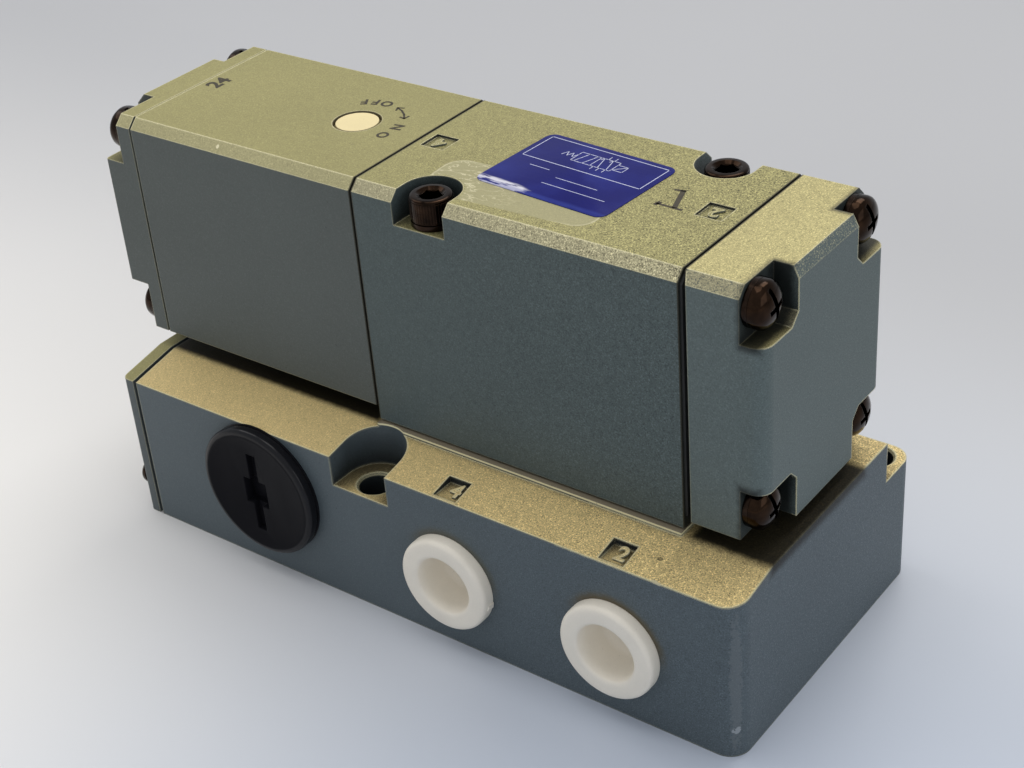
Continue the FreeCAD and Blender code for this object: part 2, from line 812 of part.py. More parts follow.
def make_terminal_block():
    bay_rows = [f"({step} * block_bay_pitch)" for step in (-1, 0, 1)]
    blade_rows = [f"({step} * contact_pitch)" for step in (-1, 0, 1)]
    block_start = f"({PLUG_X} - block_length / 2)"
    bay_end = f"({PLUG_X} - 2 * contact_width)"
    bay_floor = f"({BLOCK_TOP} - block_bay_depth)"
    screw_x = f"(({block_start} + {bay_end}) / 2)"
    blade_foot = f"({BLOCK_TOP} - block_bay_depth)"

    body = new_body("terminal_block")
    sketch = sketch_on(body, "XY_Plane", away="compartment_floor")
    centred_rectangle(sketch, PLUG_X, "0", "block_length", "block_width")
    pad(body, sketch, "block_height")
    sketch = sketch_on(body, "XY_Plane", away=BLOCK_TOP)
    for y in bay_rows:
        half = "block_bay_width / 2"
        rectangle(sketch, f"{block_start} - 1", f"{y} - {half}", bay_end, f"{y} + {half}")
    pocket(body, sketch, "block_bay_depth")
    sketch = sketch_on(body, "XY_Plane", away=BLOCK_TOP)
    for y in blade_rows:
        length = "contact_width + 2 * fit_gap"
        width = "contact_thickness + 2 * fit_gap"
        centred_rectangle(sketch, PLUG_X, y, length, width)
    pocket(body, sketch, "block_bay_depth + fit_gap")
    holes = [(screw_x, y) for y in bay_rows]
    depth = "block_height / 2 + loose_gap"
    drill(body, "XY_Plane", bay_floor, holes, "terminal_screw_radius + thread_gap", depth)

    contact = "terminal_screw_radius * 0.6"
    body = new_body("terminal_contacts")
    sketch = sketch_on(body, "XY_Plane", away=bay_floor)
    for y in bay_rows:
        half = "block_bay_width / 2 - loose_gap"
        rectangle(sketch, block_start, f"{y} - ({half})", f"{bay_end} - loose_gap", f"{y} + ({half})")
        circle(sketch, screw_x, y, "terminal_screw_radius + fit_gap")
    pad(body, sketch, contact)

    body = new_body("terminal_screws")
    sketch = sketch_on(body, "XY_Plane", away=f"{bay_floor} + {contact}")
    for y in bay_rows:
        circle(sketch, screw_x, y, "terminal_head_radius")
    pad(body, sketch, "terminal_head_height")
    sketch = sketch_on(body, "XY_Plane", away=f"{bay_floor} + {contact}")
    for y in bay_rows:
        circle(sketch, screw_x, y, "terminal_screw_radius")
    pad(body, sketch, f"{contact} + block_height / 2", backwards=True)
    head = f"{bay_floor} + {contact} + terminal_head_height"
    sketch = sketch_on(body, "XY_Plane", away=head)
    for y in bay_rows:
        length = "2 * terminal_head_radius + 1"
        centred_rectangle(sketch, screw_x, y, length, "terminal_head_height / 2")
    pocket(body, sketch, "terminal_head_height / 2")

    body = new_body("coil_connector")
    sketch = sketch_on(body, "XY_Plane", away=PLUG_FOOT)
    centred_rectangle(sketch, PLUG_X, "0", "plug_length", "plug_width")
    pad(body, sketch, f"{AXIS} - winding_radius - fit_gap - {PLUG_FOOT}")
    sketch = sketch_on(body, "XY_Plane", away=PLUG_FOOT)
    for y in blade_rows:
        centred_rectangle(sketch, PLUG_X, y, "contact_width", "contact_thickness")
    pocket(body, sketch, "block_bay_depth", forwards=True)

    body = new_body("connector_pins")
    sketch = sketch_on(body, "XY_Plane", away=blade_foot)
    for y in blade_rows:
        centred_rectangle(sketch, PLUG_X, y, "contact_width", "contact_thickness")
    pad(body, sketch, f"{PLUG_FOOT} + block_bay_depth - {blade_foot}")

    body = new_body("connector_seal")
    sketch = sketch_on(body, "XY_Plane", away="deck_height")
    length = "plug_length + 2 * loose_gap"
    width = "plug_width + 2 * loose_gap"
    centred_rectangle(sketch, PLUG_X, "0", f"{length} + 2 * seal_wall", f"{width} + 2 * seal_wall")
    centred_rectangle(sketch, PLUG_X, "0", length, width)
    pad(body, sketch, "solenoid_clearance")


def make_conduit_plug():
    face = f"({FRONT} - conduit_plug_flange)"
    end = f"({FRONT} + conduit_plug_length)"
    neck = "(conduit_radius - fit_gap)"
    hollow = "(conduit_radius * 0.66)"
    floor = f"({FRONT} + plug_wall)"
    ring_start = f"({FRONT} + plug_wall / 2)"
    ring_end = f"({ring_start} + 2 * plug_ring_wire + fit_gap)"
    root = f"({neck} - 2 * plug_ring_wire + fit_gap)"
    corners = [
        (face, "0"),
        (face, "conduit_plug_radius"),
        (FRONT, "conduit_plug_radius"),
        (FRONT, neck),
        (ring_start, neck),
        (ring_start, root),
        (ring_end, root),
        (ring_end, neck),
        (end, neck),
        (end, hollow),
        (floor, hollow),
        (floor, "0"),
    ]
    body = turned("conduit_plug", corners, CONDUIT, z="conduit_height", axis="Y")
    rim = value("conduit_plug_radius")
    front = value(face)
    fillet(
        body,
        "plug_rim_radius",
        lambda edge: isinstance(edge.Curve, Part.Circle)
        and abs(edge.Curve.Radius - rim) < 1e-4
        and is_near(edge, y=front),
    )
    sketch = sketch_on(body, "XZ_Plane", away=f"0 - {face}")
    centred_rectangle(sketch, CONDUIT, "conduit_height", "plug_slot_width", "plug_slot_length")
    pocket(body, sketch, "plug_slot_depth")
    sketch = sketch_on(body, "XZ_Plane", away=f"0 - {face}")
    centred_rectangle(sketch, CONDUIT, "conduit_height", "plug_socket", "plug_socket")
    pocket(body, sketch, "conduit_plug_flange")

    body = new_body("conduit_plug_ring")
    sketch = sketch_on(body, "YZ_Plane", away=CONDUIT, up="conduit_height")
    circle(sketch, f"({ring_start} + {ring_end}) / 2", f"{root} + plug_ring_wire", "plug_ring_wire")
    revolve(body, sketch, "H_Axis")


def make_port_plug(label, x):
    face = f"({FRONT} - port_plug_flange)"
    end = f"({FRONT} + port_plug_length)"
    neck = "(port_radius - fit_gap)"
    floor = f"({end} - port_plug_bottom)"
    corners = [
        (face, "port_plug_hole_radius"),
        (face, "port_plug_radius"),
        (FRONT, "port_plug_radius"),
        (FRONT, neck),
        (end, neck),
        (end, "0"),
        (floor, "0"),
        (floor, "port_plug_hole_radius"),
    ]
    body = turned(label, corners, x, z="port_height", axis="Y")
    rim = value("port_plug_radius")
    front = value(face)
    fillet(
        body,
        "plug_rim_radius",
        lambda edge: isinstance(edge.Curve, Part.Circle)
        and abs(edge.Curve.Radius - rim) < 1e-4
        and is_near(edge, y=front),
    )


# Valve body with its gaskets and holding screws


def make_valve_body():
    body = new_body("valve_body")
    sketch = sketch_on(body, "YZ_Plane", away=BODY_START)
    valve_section(sketch, BODY_BOTTOM)
    pad(body, sketch, "body_length")

    bore = [("0", AXIS)]
    drill(body, "YZ_Plane", BODY_END, bore, "sleeve_radius + fit_gap", "body_length + 1")
    rise = "bore_height - sleeve_radius / 2"
    drill(body, "XY_Plane", BODY_BOTTOM, PASSAGES, "passage_radius", rise, forwards=True)

    sketch = sketch_on(body, "XY_Plane", away=TOP)
    for x, y in BOLTS:
        circle(sketch, x, y, "bolt_recess_radius")
    pocket(body, sketch, "bolt_recess_depth")
    sketch = sketch_on(body, "XY_Plane", away=f"{TOP} + 1")
    for (x, y), outside in zip(BOLTS, (f"(0 - {SIDE} - 1)", f"({SIDE} + 1)")):
        low, high = sorted((y, outside), key=value)
        rectangle(sketch, f"{x} - bolt_recess_radius", low, f"{x} + bolt_recess_radius", high)
    pocket(body, sketch, "bolt_recess_depth + 1")
    drill(body, "XY_Plane", RECESS_FLOOR, BOLTS, "bolt_radius + hole_gap", "body_height")

    tapped = "corner_screw_radius + thread_gap"
    depth = "corner_thread_depth + loose_gap"
    drill(body, "YZ_Plane", BODY_START, CORNERS, tapped, depth, forwards=True)
    drill(body, "YZ_Plane", BODY_END, CORNERS, tapped, depth)

    sketch = sketch_on(body, "XY_Plane", away=TOP)
    for x in (f"{BODY_START} + left_mark_x", f"{BODY_END} - right_mark_x"):
        centred_rectangle(sketch, x, "0", "mark_size", "mark_size")
    pocket(body, sketch, "mark_depth")

    body = new_body("base_gasket")
    sketch = sketch_on(body, "XY_Plane", away=PAD_TOP)
    side = f"({SIDE} - gasket_inset)"
    start = f"{BODY_START} + gasket_inset"
    rectangle(sketch, start, f"0 - {side}", f"{BODY_END} - gasket_inset", side)
    for x, y in PASSAGES:
        circle(sketch, x, y, "passage_radius")
    for x, y in BOLTS:
        circle(sketch, x, y, "bolt_radius + hole_gap")
    pad(body, sketch, "gasket_thickness")


def make_bolts():
    seat = f"({RECESS_FLOOR} + bolt_washer_thickness)"
    body = new_body("valve_screws")
    sketch = sketch_on(body, "XY_Plane", away=seat)
    for x, y in BOLTS:
        circle(sketch, x, y, "bolt_head_radius")
    pad(body, sketch, "bolt_head_height")
    top = value(f"{seat} + bolt_head_height")
    chamfer(body, "bolt_head_height * 0.1", lambda edge: is_near(edge, z=top))
    sketch = sketch_on(body, "XY_Plane", away=seat)
    for x, y in BOLTS:
        circle(sketch, x, y, "bolt_radius")
    pad(body, sketch, f"{seat} - {PAD_TOP} + bolt_thread_depth", backwards=True)
    sketch = sketch_on(body, "XY_Plane", away=f"{seat} + bolt_head_height")
    for x, y in BOLTS:
        point = "bolt_socket / sqrt(3)"
        flat = "bolt_socket / 2"
        outline(
            sketch,
            [
                (f"{x} + {point}", y),
                (f"{x} + {point} / 2", f"{y} + {flat}"),
                (f"{x} - {point} / 2", f"{y} + {flat}"),
                (f"{x} - {point}", y),
                (f"{x} - {point} / 2", f"{y} - {flat}"),
                (f"{x} + {point} / 2", f"{y} - {flat}"),
            ],
        )
    pocket(body, sketch, "bolt_socket_depth")

    body = new_body("spring_washers")
    sketch = sketch_on(body, "XY_Plane", away=RECESS_FLOOR)
    for x, y in BOLTS:
        circle(sketch, x, y, "bolt_head_radius")
        circle(sketch, x, y, "bolt_radius + hole_gap")
    pad(body, sketch, "bolt_washer_thickness")
    sketch = sketch_on(body, "XY_Plane", away=f"{RECESS_FLOOR} + bolt_washer_thickness")
    for x, y in BOLTS:
        half = "bolt_washer_thickness / 4"
        rectangle(sketch, x, f"{y} - {half}", f"{x} + bolt_head_radius + 1", f"{y} + {half}")
    pocket(body, sketch, "bolt_washer_thickness")


# Spool, its sleeve, and the spring with its seat


def make_spool():
    inner = "(spool_radius + slide_gap)"
    start = f"({BODY_START} + fit_gap)"
    end = f"({BODY_END} - fit_gap)"
    rings = [f"({BODY_MIDDLE} + {step} * window_pitch)" for step in (-2.5, -1.5, -0.5, 0.5, 1.5, 2.5)]
    body = turned("spool_sleeve", ring_corners(start, end, inner, "sleeve_radius"), None)
    sketch = sketch_on(body, "XZ_Plane", up=AXIS)
    root = "(sleeve_radius - ring_groove_depth)"
    over = "(sleeve_radius + 1)"
    for x in rings:
        half = "ring_groove_width / 2"
        rectangle(sketch, f"{x} - {half}", root, f"{x} + {half}", over)
    for x in WINDOWS:
        half = "window_width / 2"
        rectangle(sketch, f"{x} - {half}", root, f"{x} + {half}", over)
    groove(body, sketch, "H_Axis")
    sketch = sketch_on(body, "XY_Plane", away=f"{AXIS} + sleeve_radius + 1")
    for x in WINDOWS:
        centred_rectangle(sketch, x, "0", "window_width", "window_height")
    pocket(body, sketch, "2 * sleeve_radius + 2")

    body = new_body("sleeve_orings")
    sketch = sketch_on(body, "XZ_Plane", up=AXIS)
    for x in rings:
        circle(sketch, x, f"{root} + ring_wire", "ring_wire")
    revolve(body, sketch, "H_Axis")

    # Each land's edge laps its window by the land lap at rest or after the full stroke.
    waist_end_left = f"({WINDOWS[2]} - window_width / 2 - land_lap)"
    middle_end = f"({WINDOWS[2]} + window_width / 2 - stroke + land_lap)"
    left_end = f"({WINDOWS[0]} + window_width / 2 - stroke + land_lap)"
    right_start = f"({WINDOWS[4]} - window_width / 2 - land_lap)"
    neck_end = f"({SPOOL_RIGHT} + spool_neck_length)"
    corners = [
        (SPOOL_LEFT, "0"),
        (SPOOL_LEFT, "spool_radius"),
        (left_end, "spool_radius"),
        (left_end, "spool_waist_radius"),
        (waist_end_left, "spool_waist_radius"),
        (waist_end_left, "spool_radius"),
        (middle_end, "spool_radius"),
        (middle_end, "spool_waist_radius"),
        (right_start, "spool_waist_radius"),
        (right_start, "spool_radius"),
        (SPOOL_RIGHT, "spool_radius"),
        (SPOOL_RIGHT, "spool_neck_radius"),
        (neck_end, "spool_neck_radius"),
        (neck_end, "0"),
    ]
    turned("spool", corners, None)
    hole = "(spool_neck_radius + guide_gap)"
    turned("spring_seat", ring_corners(SPOOL_RIGHT, SEAT_FACE, hole, "seat_radius"), None)


def make_spring():
    """A coil with one closed turn at each end, drawn with few sides so that it stays light."""
    wire = value("spring_wire")
    radius = value("spring_radius")
    turns = value("spring_turns")
    start = value(SEAT_FACE) + wire
    length = value(SPRING_END) - wire - start
    closed = 2.0 * wire * 1.05
    rise = (length - 2.0 * closed) / (turns - 2.0)
    steps = 12
    points = []
    for step in range(int(turns * steps) + 1):
        turn = step / steps
        x = closed * min(turn, 1.0) + rise * min(max(turn - 1.0, 0.0), turns - 2.0)
        x += closed * max(turn - turns + 1.0, 0.0)
        turn_vector = FreeCAD.Rotation(vector(1, 0, 0), 360.0 * turn).multVec(vector(0, radius, 0))
        points.append(turn_vector + vector(start + x, 0, value(AXIS)))
    path = Part.makePolygon(points)
    along = points[1] - points[0]
    section = [
        FreeCAD.Rotation(vector(0, 0, 1), along).multVec(
            FreeCAD.Rotation(vector(0, 0, 1), 60.0 * side).multVec(vector(wire, 0, 0))
        )
        + points[0]
        for side in range(7)
    ]
    coil = path.makePipeShell([Part.makePolygon(section)], True, False, 1)
    spring = doc.addObject("Part::Feature", "return_spring")
    spring.Label = "return_spring"
    spring.Shape = coil


# End cap


def cut_joint_relief(body, away, forwards):
    """The end cap steps back beside the gasket, less and less over the bevelled top edge."""
    sketch = sketch_on(body, "XZ_Plane", away=away)
    corners = [
        (f"{CAP_START} - 1", f"{CAP_BOTTOM} - 1"),
        (f"{CAP_START} + joint_relief_width", f"{CAP_BOTTOM} - 1"),
        (f"{CAP_START} + joint_relief_width", f"{TOP} - top_chamfer"),
        (CAP_START, TOP),
        (f"{CAP_START} - 1", TOP),
    ]
    outline(sketch, corners)
    pocket(body, sketch, "joint_relief_depth + 1", forwards=forwards)


def make_end_cap():
    body = new_body("end_cap")
    sketch = sketch_on(body, "YZ_Plane", away=CAP_START)
    valve_section(sketch, CAP_BOTTOM)
    pad(body, sketch, "cap_length")
    end = value(CAP_END)
    fillet(body, "cap_edge_radius", lambda edge: is_along(edge, 2) and is_near(edge, x=end))
    sketch = sketch_on(body, "XZ_Plane", away=f"{SIDE} + 1")
    depth = "cap_end_chamfer_depth"
    height = "cap_end_chamfer_height"
    corners = [
        (f"{CAP_END} - {depth}", f"{TOP}"),
        (f"{CAP_END} - {depth}", f"{TOP} + 1"),
        (f"{CAP_END} + 1", f"{TOP} + 1"),
        (f"{CAP_END} + 1", f"{TOP} - {height}"),
        (CAP_END, f"{TOP} - {height}"),
    ]
    outline(sketch, corners)
    pocket(body, sketch, f"2 * {SIDE} + 2")
    cut_joint_relief(body, f"{SIDE} + 1", forwards=False)
    cut_joint_relief(body, f"0 - {SIDE} - 1", forwards=True)
    sketch = sketch_on(body, "YZ_Plane", away=CAP_FLOOR)
    notch_outlines(sketch, CAP_BOTTOM)
    pocket(body, sketch, "notch_depth + 1", forwards=True)
    drill(body, "YZ_Plane", CAP_FLOOR, CORNERS, "corner_screw_radius + hole_gap", "cap_length")
    bore = [("0", AXIS)]
    radius = "spring_pocket_radius"
    drill(body, "YZ_Plane", CAP_START, bore, radius, "spring_pocket_depth", forwards=True)

    body = new_body("end_cap_gasket")
    sketch = sketch_on(body, "YZ_Plane", away=BODY_END)
    valve_section(sketch, CAP_BOTTOM, "gasket_inset")
    circle(sketch, "0", AXIS, "sleeve_radius - spool_radius + sleeve_radius / 2")
    corner_circles(sketch, "corner_screw_radius + hole_gap")
    pad(body, sketch, "gasket_thickness")

    shank_end = f"({BODY_END} - corner_thread_depth)"
    corner_screws("end_cap_screws", CAP_FLOOR, shank_end, outwards=True)
    corner_washers("end_cap_washers", CAP_FLOOR, outwards=True)


# Solenoid housing and its cover


def make_solenoid_housing():
    body = new_body("solenoid_housing")
    sketch = sketch_on(body, "YZ_Plane", away=HOUSING_START)
    valve_section(sketch, HOUSING_BOTTOM)
    pad(body, sketch, "solenoid_length")
    middle = [("0", AXIS)]
    start = HOUSING_START
    drill(body, "YZ_Plane", start, middle, "coil_space_radius", "coil_space_depth", forwards=True)
    reach = f"{PIN_SPACE_END} - {start}"
    drill(body, "YZ_Plane", start, middle, "pin_space_radius", reach, forwards=True)
    drill(body, "YZ_Plane", HOUSING_END, middle, "pin_radius + loose_gap", "housing_end_wall + 1")
    screw_hole = "corner_screw_radius + hole_gap"
    drill(body, "YZ_Plane", HOUSING_END, CORNERS, screw_hole, "solenoid_length + 1")

    sketch = sketch_on(body, "XY_Plane", away=HOUSING_BOTTOM)
    length = "plug_length + 2 * loose_gap"
    centred_rectangle(sketch, PLUG_X, "0", length, "plug_width + 2 * loose_gap")
    pocket(body, sketch, "coil_space_radius / 2", forwards=True)

    knob = [(OVERRIDE, "0")]
    drill(body, "XY_Plane", TOP, knob, "override_ring_radius", "override_ring_depth")
    seat_depth = f"{TOP} - {OVERRIDE_TOP} + override_grip"
    drill(body, "XY_Plane", TOP, knob, "override_radius + guide_gap", seat_depth)
    drill(body, "XY_Plane", TOP, knob, "override_stem_radius + guide_gap", f"{TOP} - {AXIS}")

    body = new_body("solenoid_gasket")
    sketch = sketch_on(body, "YZ_Plane", away=HOUSING_END)
    valve_section(sketch, HOUSING_BOTTOM, "gasket_inset")
    circle(sketch, "0", AXIS, "sleeve_radius - spool_radius")
    corner_circles(sketch, screw_hole)
    pad(body, sketch, "gasket_thickness")


def make_solenoid_cover():
    body = new_body("solenoid_cover")
    sketch = sketch_on(body, "YZ_Plane", away=COVER_INNER)
    valve_section(sketch, HOUSING_BOTTOM)
    pad(body, sketch, "cover_flange + cover_block", backwards=True)
    sketch = sketch_on(body, "YZ_Plane", away=COVER_FLOOR)
    notch_outlines(sketch, HOUSING_BOTTOM)
    pocket(body, sketch, "cover_block + 1")
    outer, inside = value(COVER_OUTER), value(SIDE) - 1
    upright = lambda edge: is_along(edge, 2) and is_near(edge, x=outer)
    fillet(body, "plug_rim_radius", lambda edge: upright(edge) and abs(edge.BoundBox.YMin) > inside)
    sketch = sketch_on(body, "XZ_Plane", away=f"{SIDE} + 1")
    corners = [
        (f"{COVER_OUTER} - 1", f"{TOP} - cover_end_chamfer"),
        (COVER_OUTER, f"{TOP} - cover_end_chamfer"),
        (f"{COVER_OUTER} + cover_end_chamfer", TOP),
        (f"{COVER_OUTER} + cover_end_chamfer", f"{TOP} + 1"),
        (f"{COVER_OUTER} - 1", f"{TOP} + 1"),
    ]
    outline(sketch, corners)
    pocket(body, sketch, f"2 * {SIDE} + 2")
    sketch = sketch_on(body, "YZ_Plane", away=COVER_INNER)
    circle(sketch, "0", AXIS, "coil_space_radius - loose_gap")
    circle(sketch, "0", AXIS, "cover_boss_radius")
    pad(body, sketch, f"{YOKE_START} - fit_gap - {COVER_INNER}")
    screw_hole = "corner_screw_radius + hole_gap"
    drill(body, "YZ_Plane", COVER_INNER, CORNERS, screw_hole, "cover_flange + 1")

    body = new_body("solenoid_cover_gasket")
    sketch = sketch_on(body, "YZ_Plane", away=HOUSING_START)
    valve_section(sketch, HOUSING_BOTTOM, "gasket_inset")
    circle(sketch, "0", AXIS, "coil_space_radius")
    corner_circles(sketch, screw_hole)
    pad(body, sketch, "gasket_thickness", backwards=True)

    shank_end = f"({BODY_START} + corner_thread_depth)"
    corner_screws("solenoid_cover_screws", COVER_FLOOR, shank_end, outwards=False)
    corner_washers("solenoid_cover_washers", COVER_FLOOR, outwards=False)


# Coil, its iron circuit, and the plunger with its push pin


def make_coil():
    inside = "(yoke_radius - yoke_wall)"
    tube_hole = f"({TUBE_RADIUS} + fit_gap)"
    hub = f"({tube_hole} + bobbin_wall)"
    plate_inner = f"({YOKE_END} - yoke_plate)"
    corners = [
        (YOKE_START, inside),
        (YOKE_START, "yoke_radius"),
        (YOKE_END, "yoke_radius"),
        (YOKE_END, tube_hole),
        (plate_inner, tube_hole),
        (plate_inner, inside),
    ]
    body = turned("yoke_can", corners, None)
    sketch = sketch_on(body, "XY_Plane", away=AXIS)
    length = "plug_length + 2 * loose_gap"
    centred_rectangle(sketch, PLUG_X, "0", length, "plug_width + 2 * loose_gap")
    pocket(body, sketch, "yoke_radius + 1")

    plate_end = f"({YOKE_START} + yoke_plate)"
    corners = ring_corners(YOKE_START, plate_end, tube_hole, f"({inside} - fit_gap)")
    turned("yoke_plate", corners, None)

    flange = f"({inside} - loose_gap)"
    left = f"({BOBBIN_START} + bobbin_wall)"
    right = f"({BOBBIN_END} - bobbin_wall)"
    corners = [
        (BOBBIN_START, tube_hole),
        (BOBBIN_START, flange),
        (left, flange),
        (left, hub),
        (right, hub),
        (right, flange),
        (BOBBIN_END, flange),
        (BOBBIN_END, tube_hole),
    ]
    turned("coil_bobbin", corners, None)
    gap = "fit_gap / 2"
    corners = ring_corners(f"{left} + {gap}", f"{right} - {gap}", f"{hub} + {gap}", "winding_radius")
    turned("coil_winding", corners, None)

    inner = "(core_radius + guide_gap)"
    floor = f"({TUBE_LEFT} + tube_end)"
    corners = [
        (TUBE_LEFT, "0"),
        (TUBE_LEFT, TUBE_RADIUS),
        (YOKE_END, TUBE_RADIUS),
        (YOKE_END, inner),
        (floor, inner),
        (floor, "0"),
    ]
    turned("guide_tube", corners, None)
    bore = "(pin_radius + guide_gap)"
    turned("fixed_core", ring_corners(CORE_LEFT, YOKE_END, bore, "core_radius"), None)
    corners = ring_corners(PLUNGER_LEFT, PLUNGER_RIGHT, "0", "core_radius")
    turned("plunger", corners, None)
    corners = [
        (PLUNGER_RIGHT, "0"),
        (PLUNGER_RIGHT, "pin_radius"),
        (COLLAR_LEFT, "pin_radius"),
        (COLLAR_LEFT, "collar_radius"),
        (f"({COLLAR_LEFT} + collar_thickness)", "collar_radius"),
        (f"({COLLAR_LEFT} + collar_thickness)", "pin_radius"),
        (SPOOL_LEFT, "pin_radius"),
        (SPOOL_LEFT, "0"),
    ]
    turned("push_pin", corners, None)


# Manual override


def make_override():
    grip_foot = f"({OVERRIDE_TOP} - override_grip)"
    ring_foot = f"({OVERRIDE_TOP} - override_grip / 2)"
    ring_top = f"({ring_foot} + override_groove_width)"
    root = "(override_radius - override_groove_depth)"
    clip_top = f"({OVERRIDE_TOP} - override_clip_depth)"
    clip_foot = f"({clip_top} - override_clip_thickness)"
    clip_root = "(override_stem_radius - override_clip_thickness)"
    corners = [
        (OVERRIDE_TOP, "0"),
        (OVERRIDE_TOP, "override_radius"),
        (ring_top, "override_radius"),
        (ring_top, root),
        (ring_foot, root),
        (ring_foot, "override_radius"),
        (grip_foot, "override_radius"),
        (grip_foot, "override_stem_radius"),
        (clip_top, "override_stem_radius"),
        (clip_top, clip_root),
        (clip_foot, clip_root),
        (clip_foot, "override_stem_radius"),
        (OVERRIDE_FOOT, "override_stem_radius"),
        (OVERRIDE_FOOT, "0"),
    ]
    body = turned("override_knob", corners, OVERRIDE, y="0", axis="Z")
    sketch = sketch_on(body, "XY_Plane", away=OVERRIDE_FOOT)
    circle(sketch, f"{OVERRIDE} - {CAM_REACH}", CAM_REACH, "override_pin_radius")
    pad(body, sketch, "override_pin_length", backwards=True)

    body = new_body("override_oring")
    sketch = sketch_on(body, "XZ_Plane", across=OVERRIDE)
    wire = "override_ring_wire"
    circle(sketch, f"{root} + {wire}", f"({ring_foot} + {ring_top}) / 2", wire)
    revolve(body, sketch, "V_Axis")

    corners = ring_corners(clip_foot, clip_top, clip_root, "override_clip_radius")
    body = turned("override_clip", corners, OVERRIDE, y="0", axis="Z")
    sketch = sketch_on(body, "XY_Plane", away=clip_top)
    half = "override_clip_thickness"
    rectangle(sketch, OVERRIDE, f"0 - {half}", f"{OVERRIDE} + override_clip_radius + 1", half)
    pocket(body, sketch, "override_clip_thickness")


def make_name_plate():
    body = new_body("name_plate")
    sketch = sketch_on(body, "XY_Plane", away=TOP)
    corners = []
    for u, v in ((-0.5, -0.5), (0.5, -0.5), (0.5, 0.5), (-0.5, 0.5)):
        along = f"({u} * plate_length)"
        over = f"({v} * plate_width)"
        x = f"{BODY_START} + plate_x + {along} * cos(plate_skew) - {over} * sin(plate_skew)"
        y = f"plate_y + {along} * sin(plate_skew) + {over} * cos(plate_skew)"
        corners.append((x, y))
    outline(sketch, corners)
    pad(body, sketch, "plate_thickness")
    fillet(body, "plate_corner", lambda edge: is_along(edge, 2))


make_subplate()
make_terminal_cover()
make_terminal_block()
make_conduit_plug()
make_port_plug("port_plug_a", PORT_A)
make_port_plug("port_plug_b", PORT_B)
make_valve_body()
make_bolts()
make_spool()
make_spring()
make_end_cap()
make_solenoid_housing()
make_solenoid_cover()
make_coil()
make_override()
make_name_plate()


# Check every object, then write each piece


def write_parts():
    os.makedirs("parts", exist_ok=True)
    doc.recompute()
    for item in doc.Objects:
        if "Invalid" in item.State or "Error" in item.State:
            raise RuntimeError(f"{item.Label} did not compute")
    kinds = ("PartDesign::Body", "Part::Feature")
    pieces = [item for item in doc.Objects if item.TypeId in kinds]
    for piece in pieces:
        if piece.Shape.isNull() or not piece.Shape.isValid():
            raise RuntimeError(f"{piece.Label} has no valid shape")
    for piece in pieces:
        piece.Shape.exportStep(f"parts/{piece.Label}.step")
        print(piece.Label, len(piece.Shape.Solids), round(piece.Shape.Volume, 1))


write_parts()
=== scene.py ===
"""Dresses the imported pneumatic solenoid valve: finishes, screws, plugs, label, markings and studio.

Lengths are millimetres in the CAD frame, and MM turns them into Blender's metres.
"""

import logging
import math
from abc import ABC, abstractmethod
from contextlib import contextmanager
from dataclasses import dataclass
from enum import Enum
from functools import reduce
from typing import Callable, Iterator, Optional, Sequence, Union

import bmesh
import bpy
from mathutils import Euler, Matrix, Vector


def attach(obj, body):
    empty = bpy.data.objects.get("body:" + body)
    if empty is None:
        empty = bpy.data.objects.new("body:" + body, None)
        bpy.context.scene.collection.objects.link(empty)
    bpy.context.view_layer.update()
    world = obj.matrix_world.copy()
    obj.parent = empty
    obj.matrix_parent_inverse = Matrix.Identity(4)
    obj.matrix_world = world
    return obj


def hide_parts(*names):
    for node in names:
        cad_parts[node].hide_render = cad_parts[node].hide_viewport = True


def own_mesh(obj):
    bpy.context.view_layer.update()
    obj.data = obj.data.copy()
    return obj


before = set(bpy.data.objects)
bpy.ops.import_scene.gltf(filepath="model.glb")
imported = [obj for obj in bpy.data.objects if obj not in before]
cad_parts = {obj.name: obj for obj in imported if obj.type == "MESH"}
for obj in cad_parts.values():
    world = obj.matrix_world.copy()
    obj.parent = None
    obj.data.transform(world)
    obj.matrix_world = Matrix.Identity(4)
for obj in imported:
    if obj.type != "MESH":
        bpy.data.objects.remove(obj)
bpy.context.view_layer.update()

LOG = logging.getLogger("solenoid_valve")
MM = 0.001

Pair = tuple[float, float]
Triple = tuple[float, float, float]
Colour = tuple[float, float, float, float]


def srgb(red: int, green: int, blue: int) -> Colour:
    """A paint chip's colour in Blender's linear light.

    Args:
        red: Red from 0 to 255.
        green: Green from 0 to 255.
        blue: Blue from 0 to 255.

    Returns:
        The linear colour with full opacity.
    """
    shares = [part / 255 for part in (red, green, blue)]
    linear = [share / 12.92 if share <= 0.04045 else ((share + 0.055) / 1.055) ** 2.4 for share in shares]
    return (*linear, 1.0)


def turned(angles: Sequence[float]) -> Euler:
    """Turns about X, Y and Z, given in degrees."""
    return Euler([math.radians(angle) for angle in angles])


# Shader nodes written as Python expressions


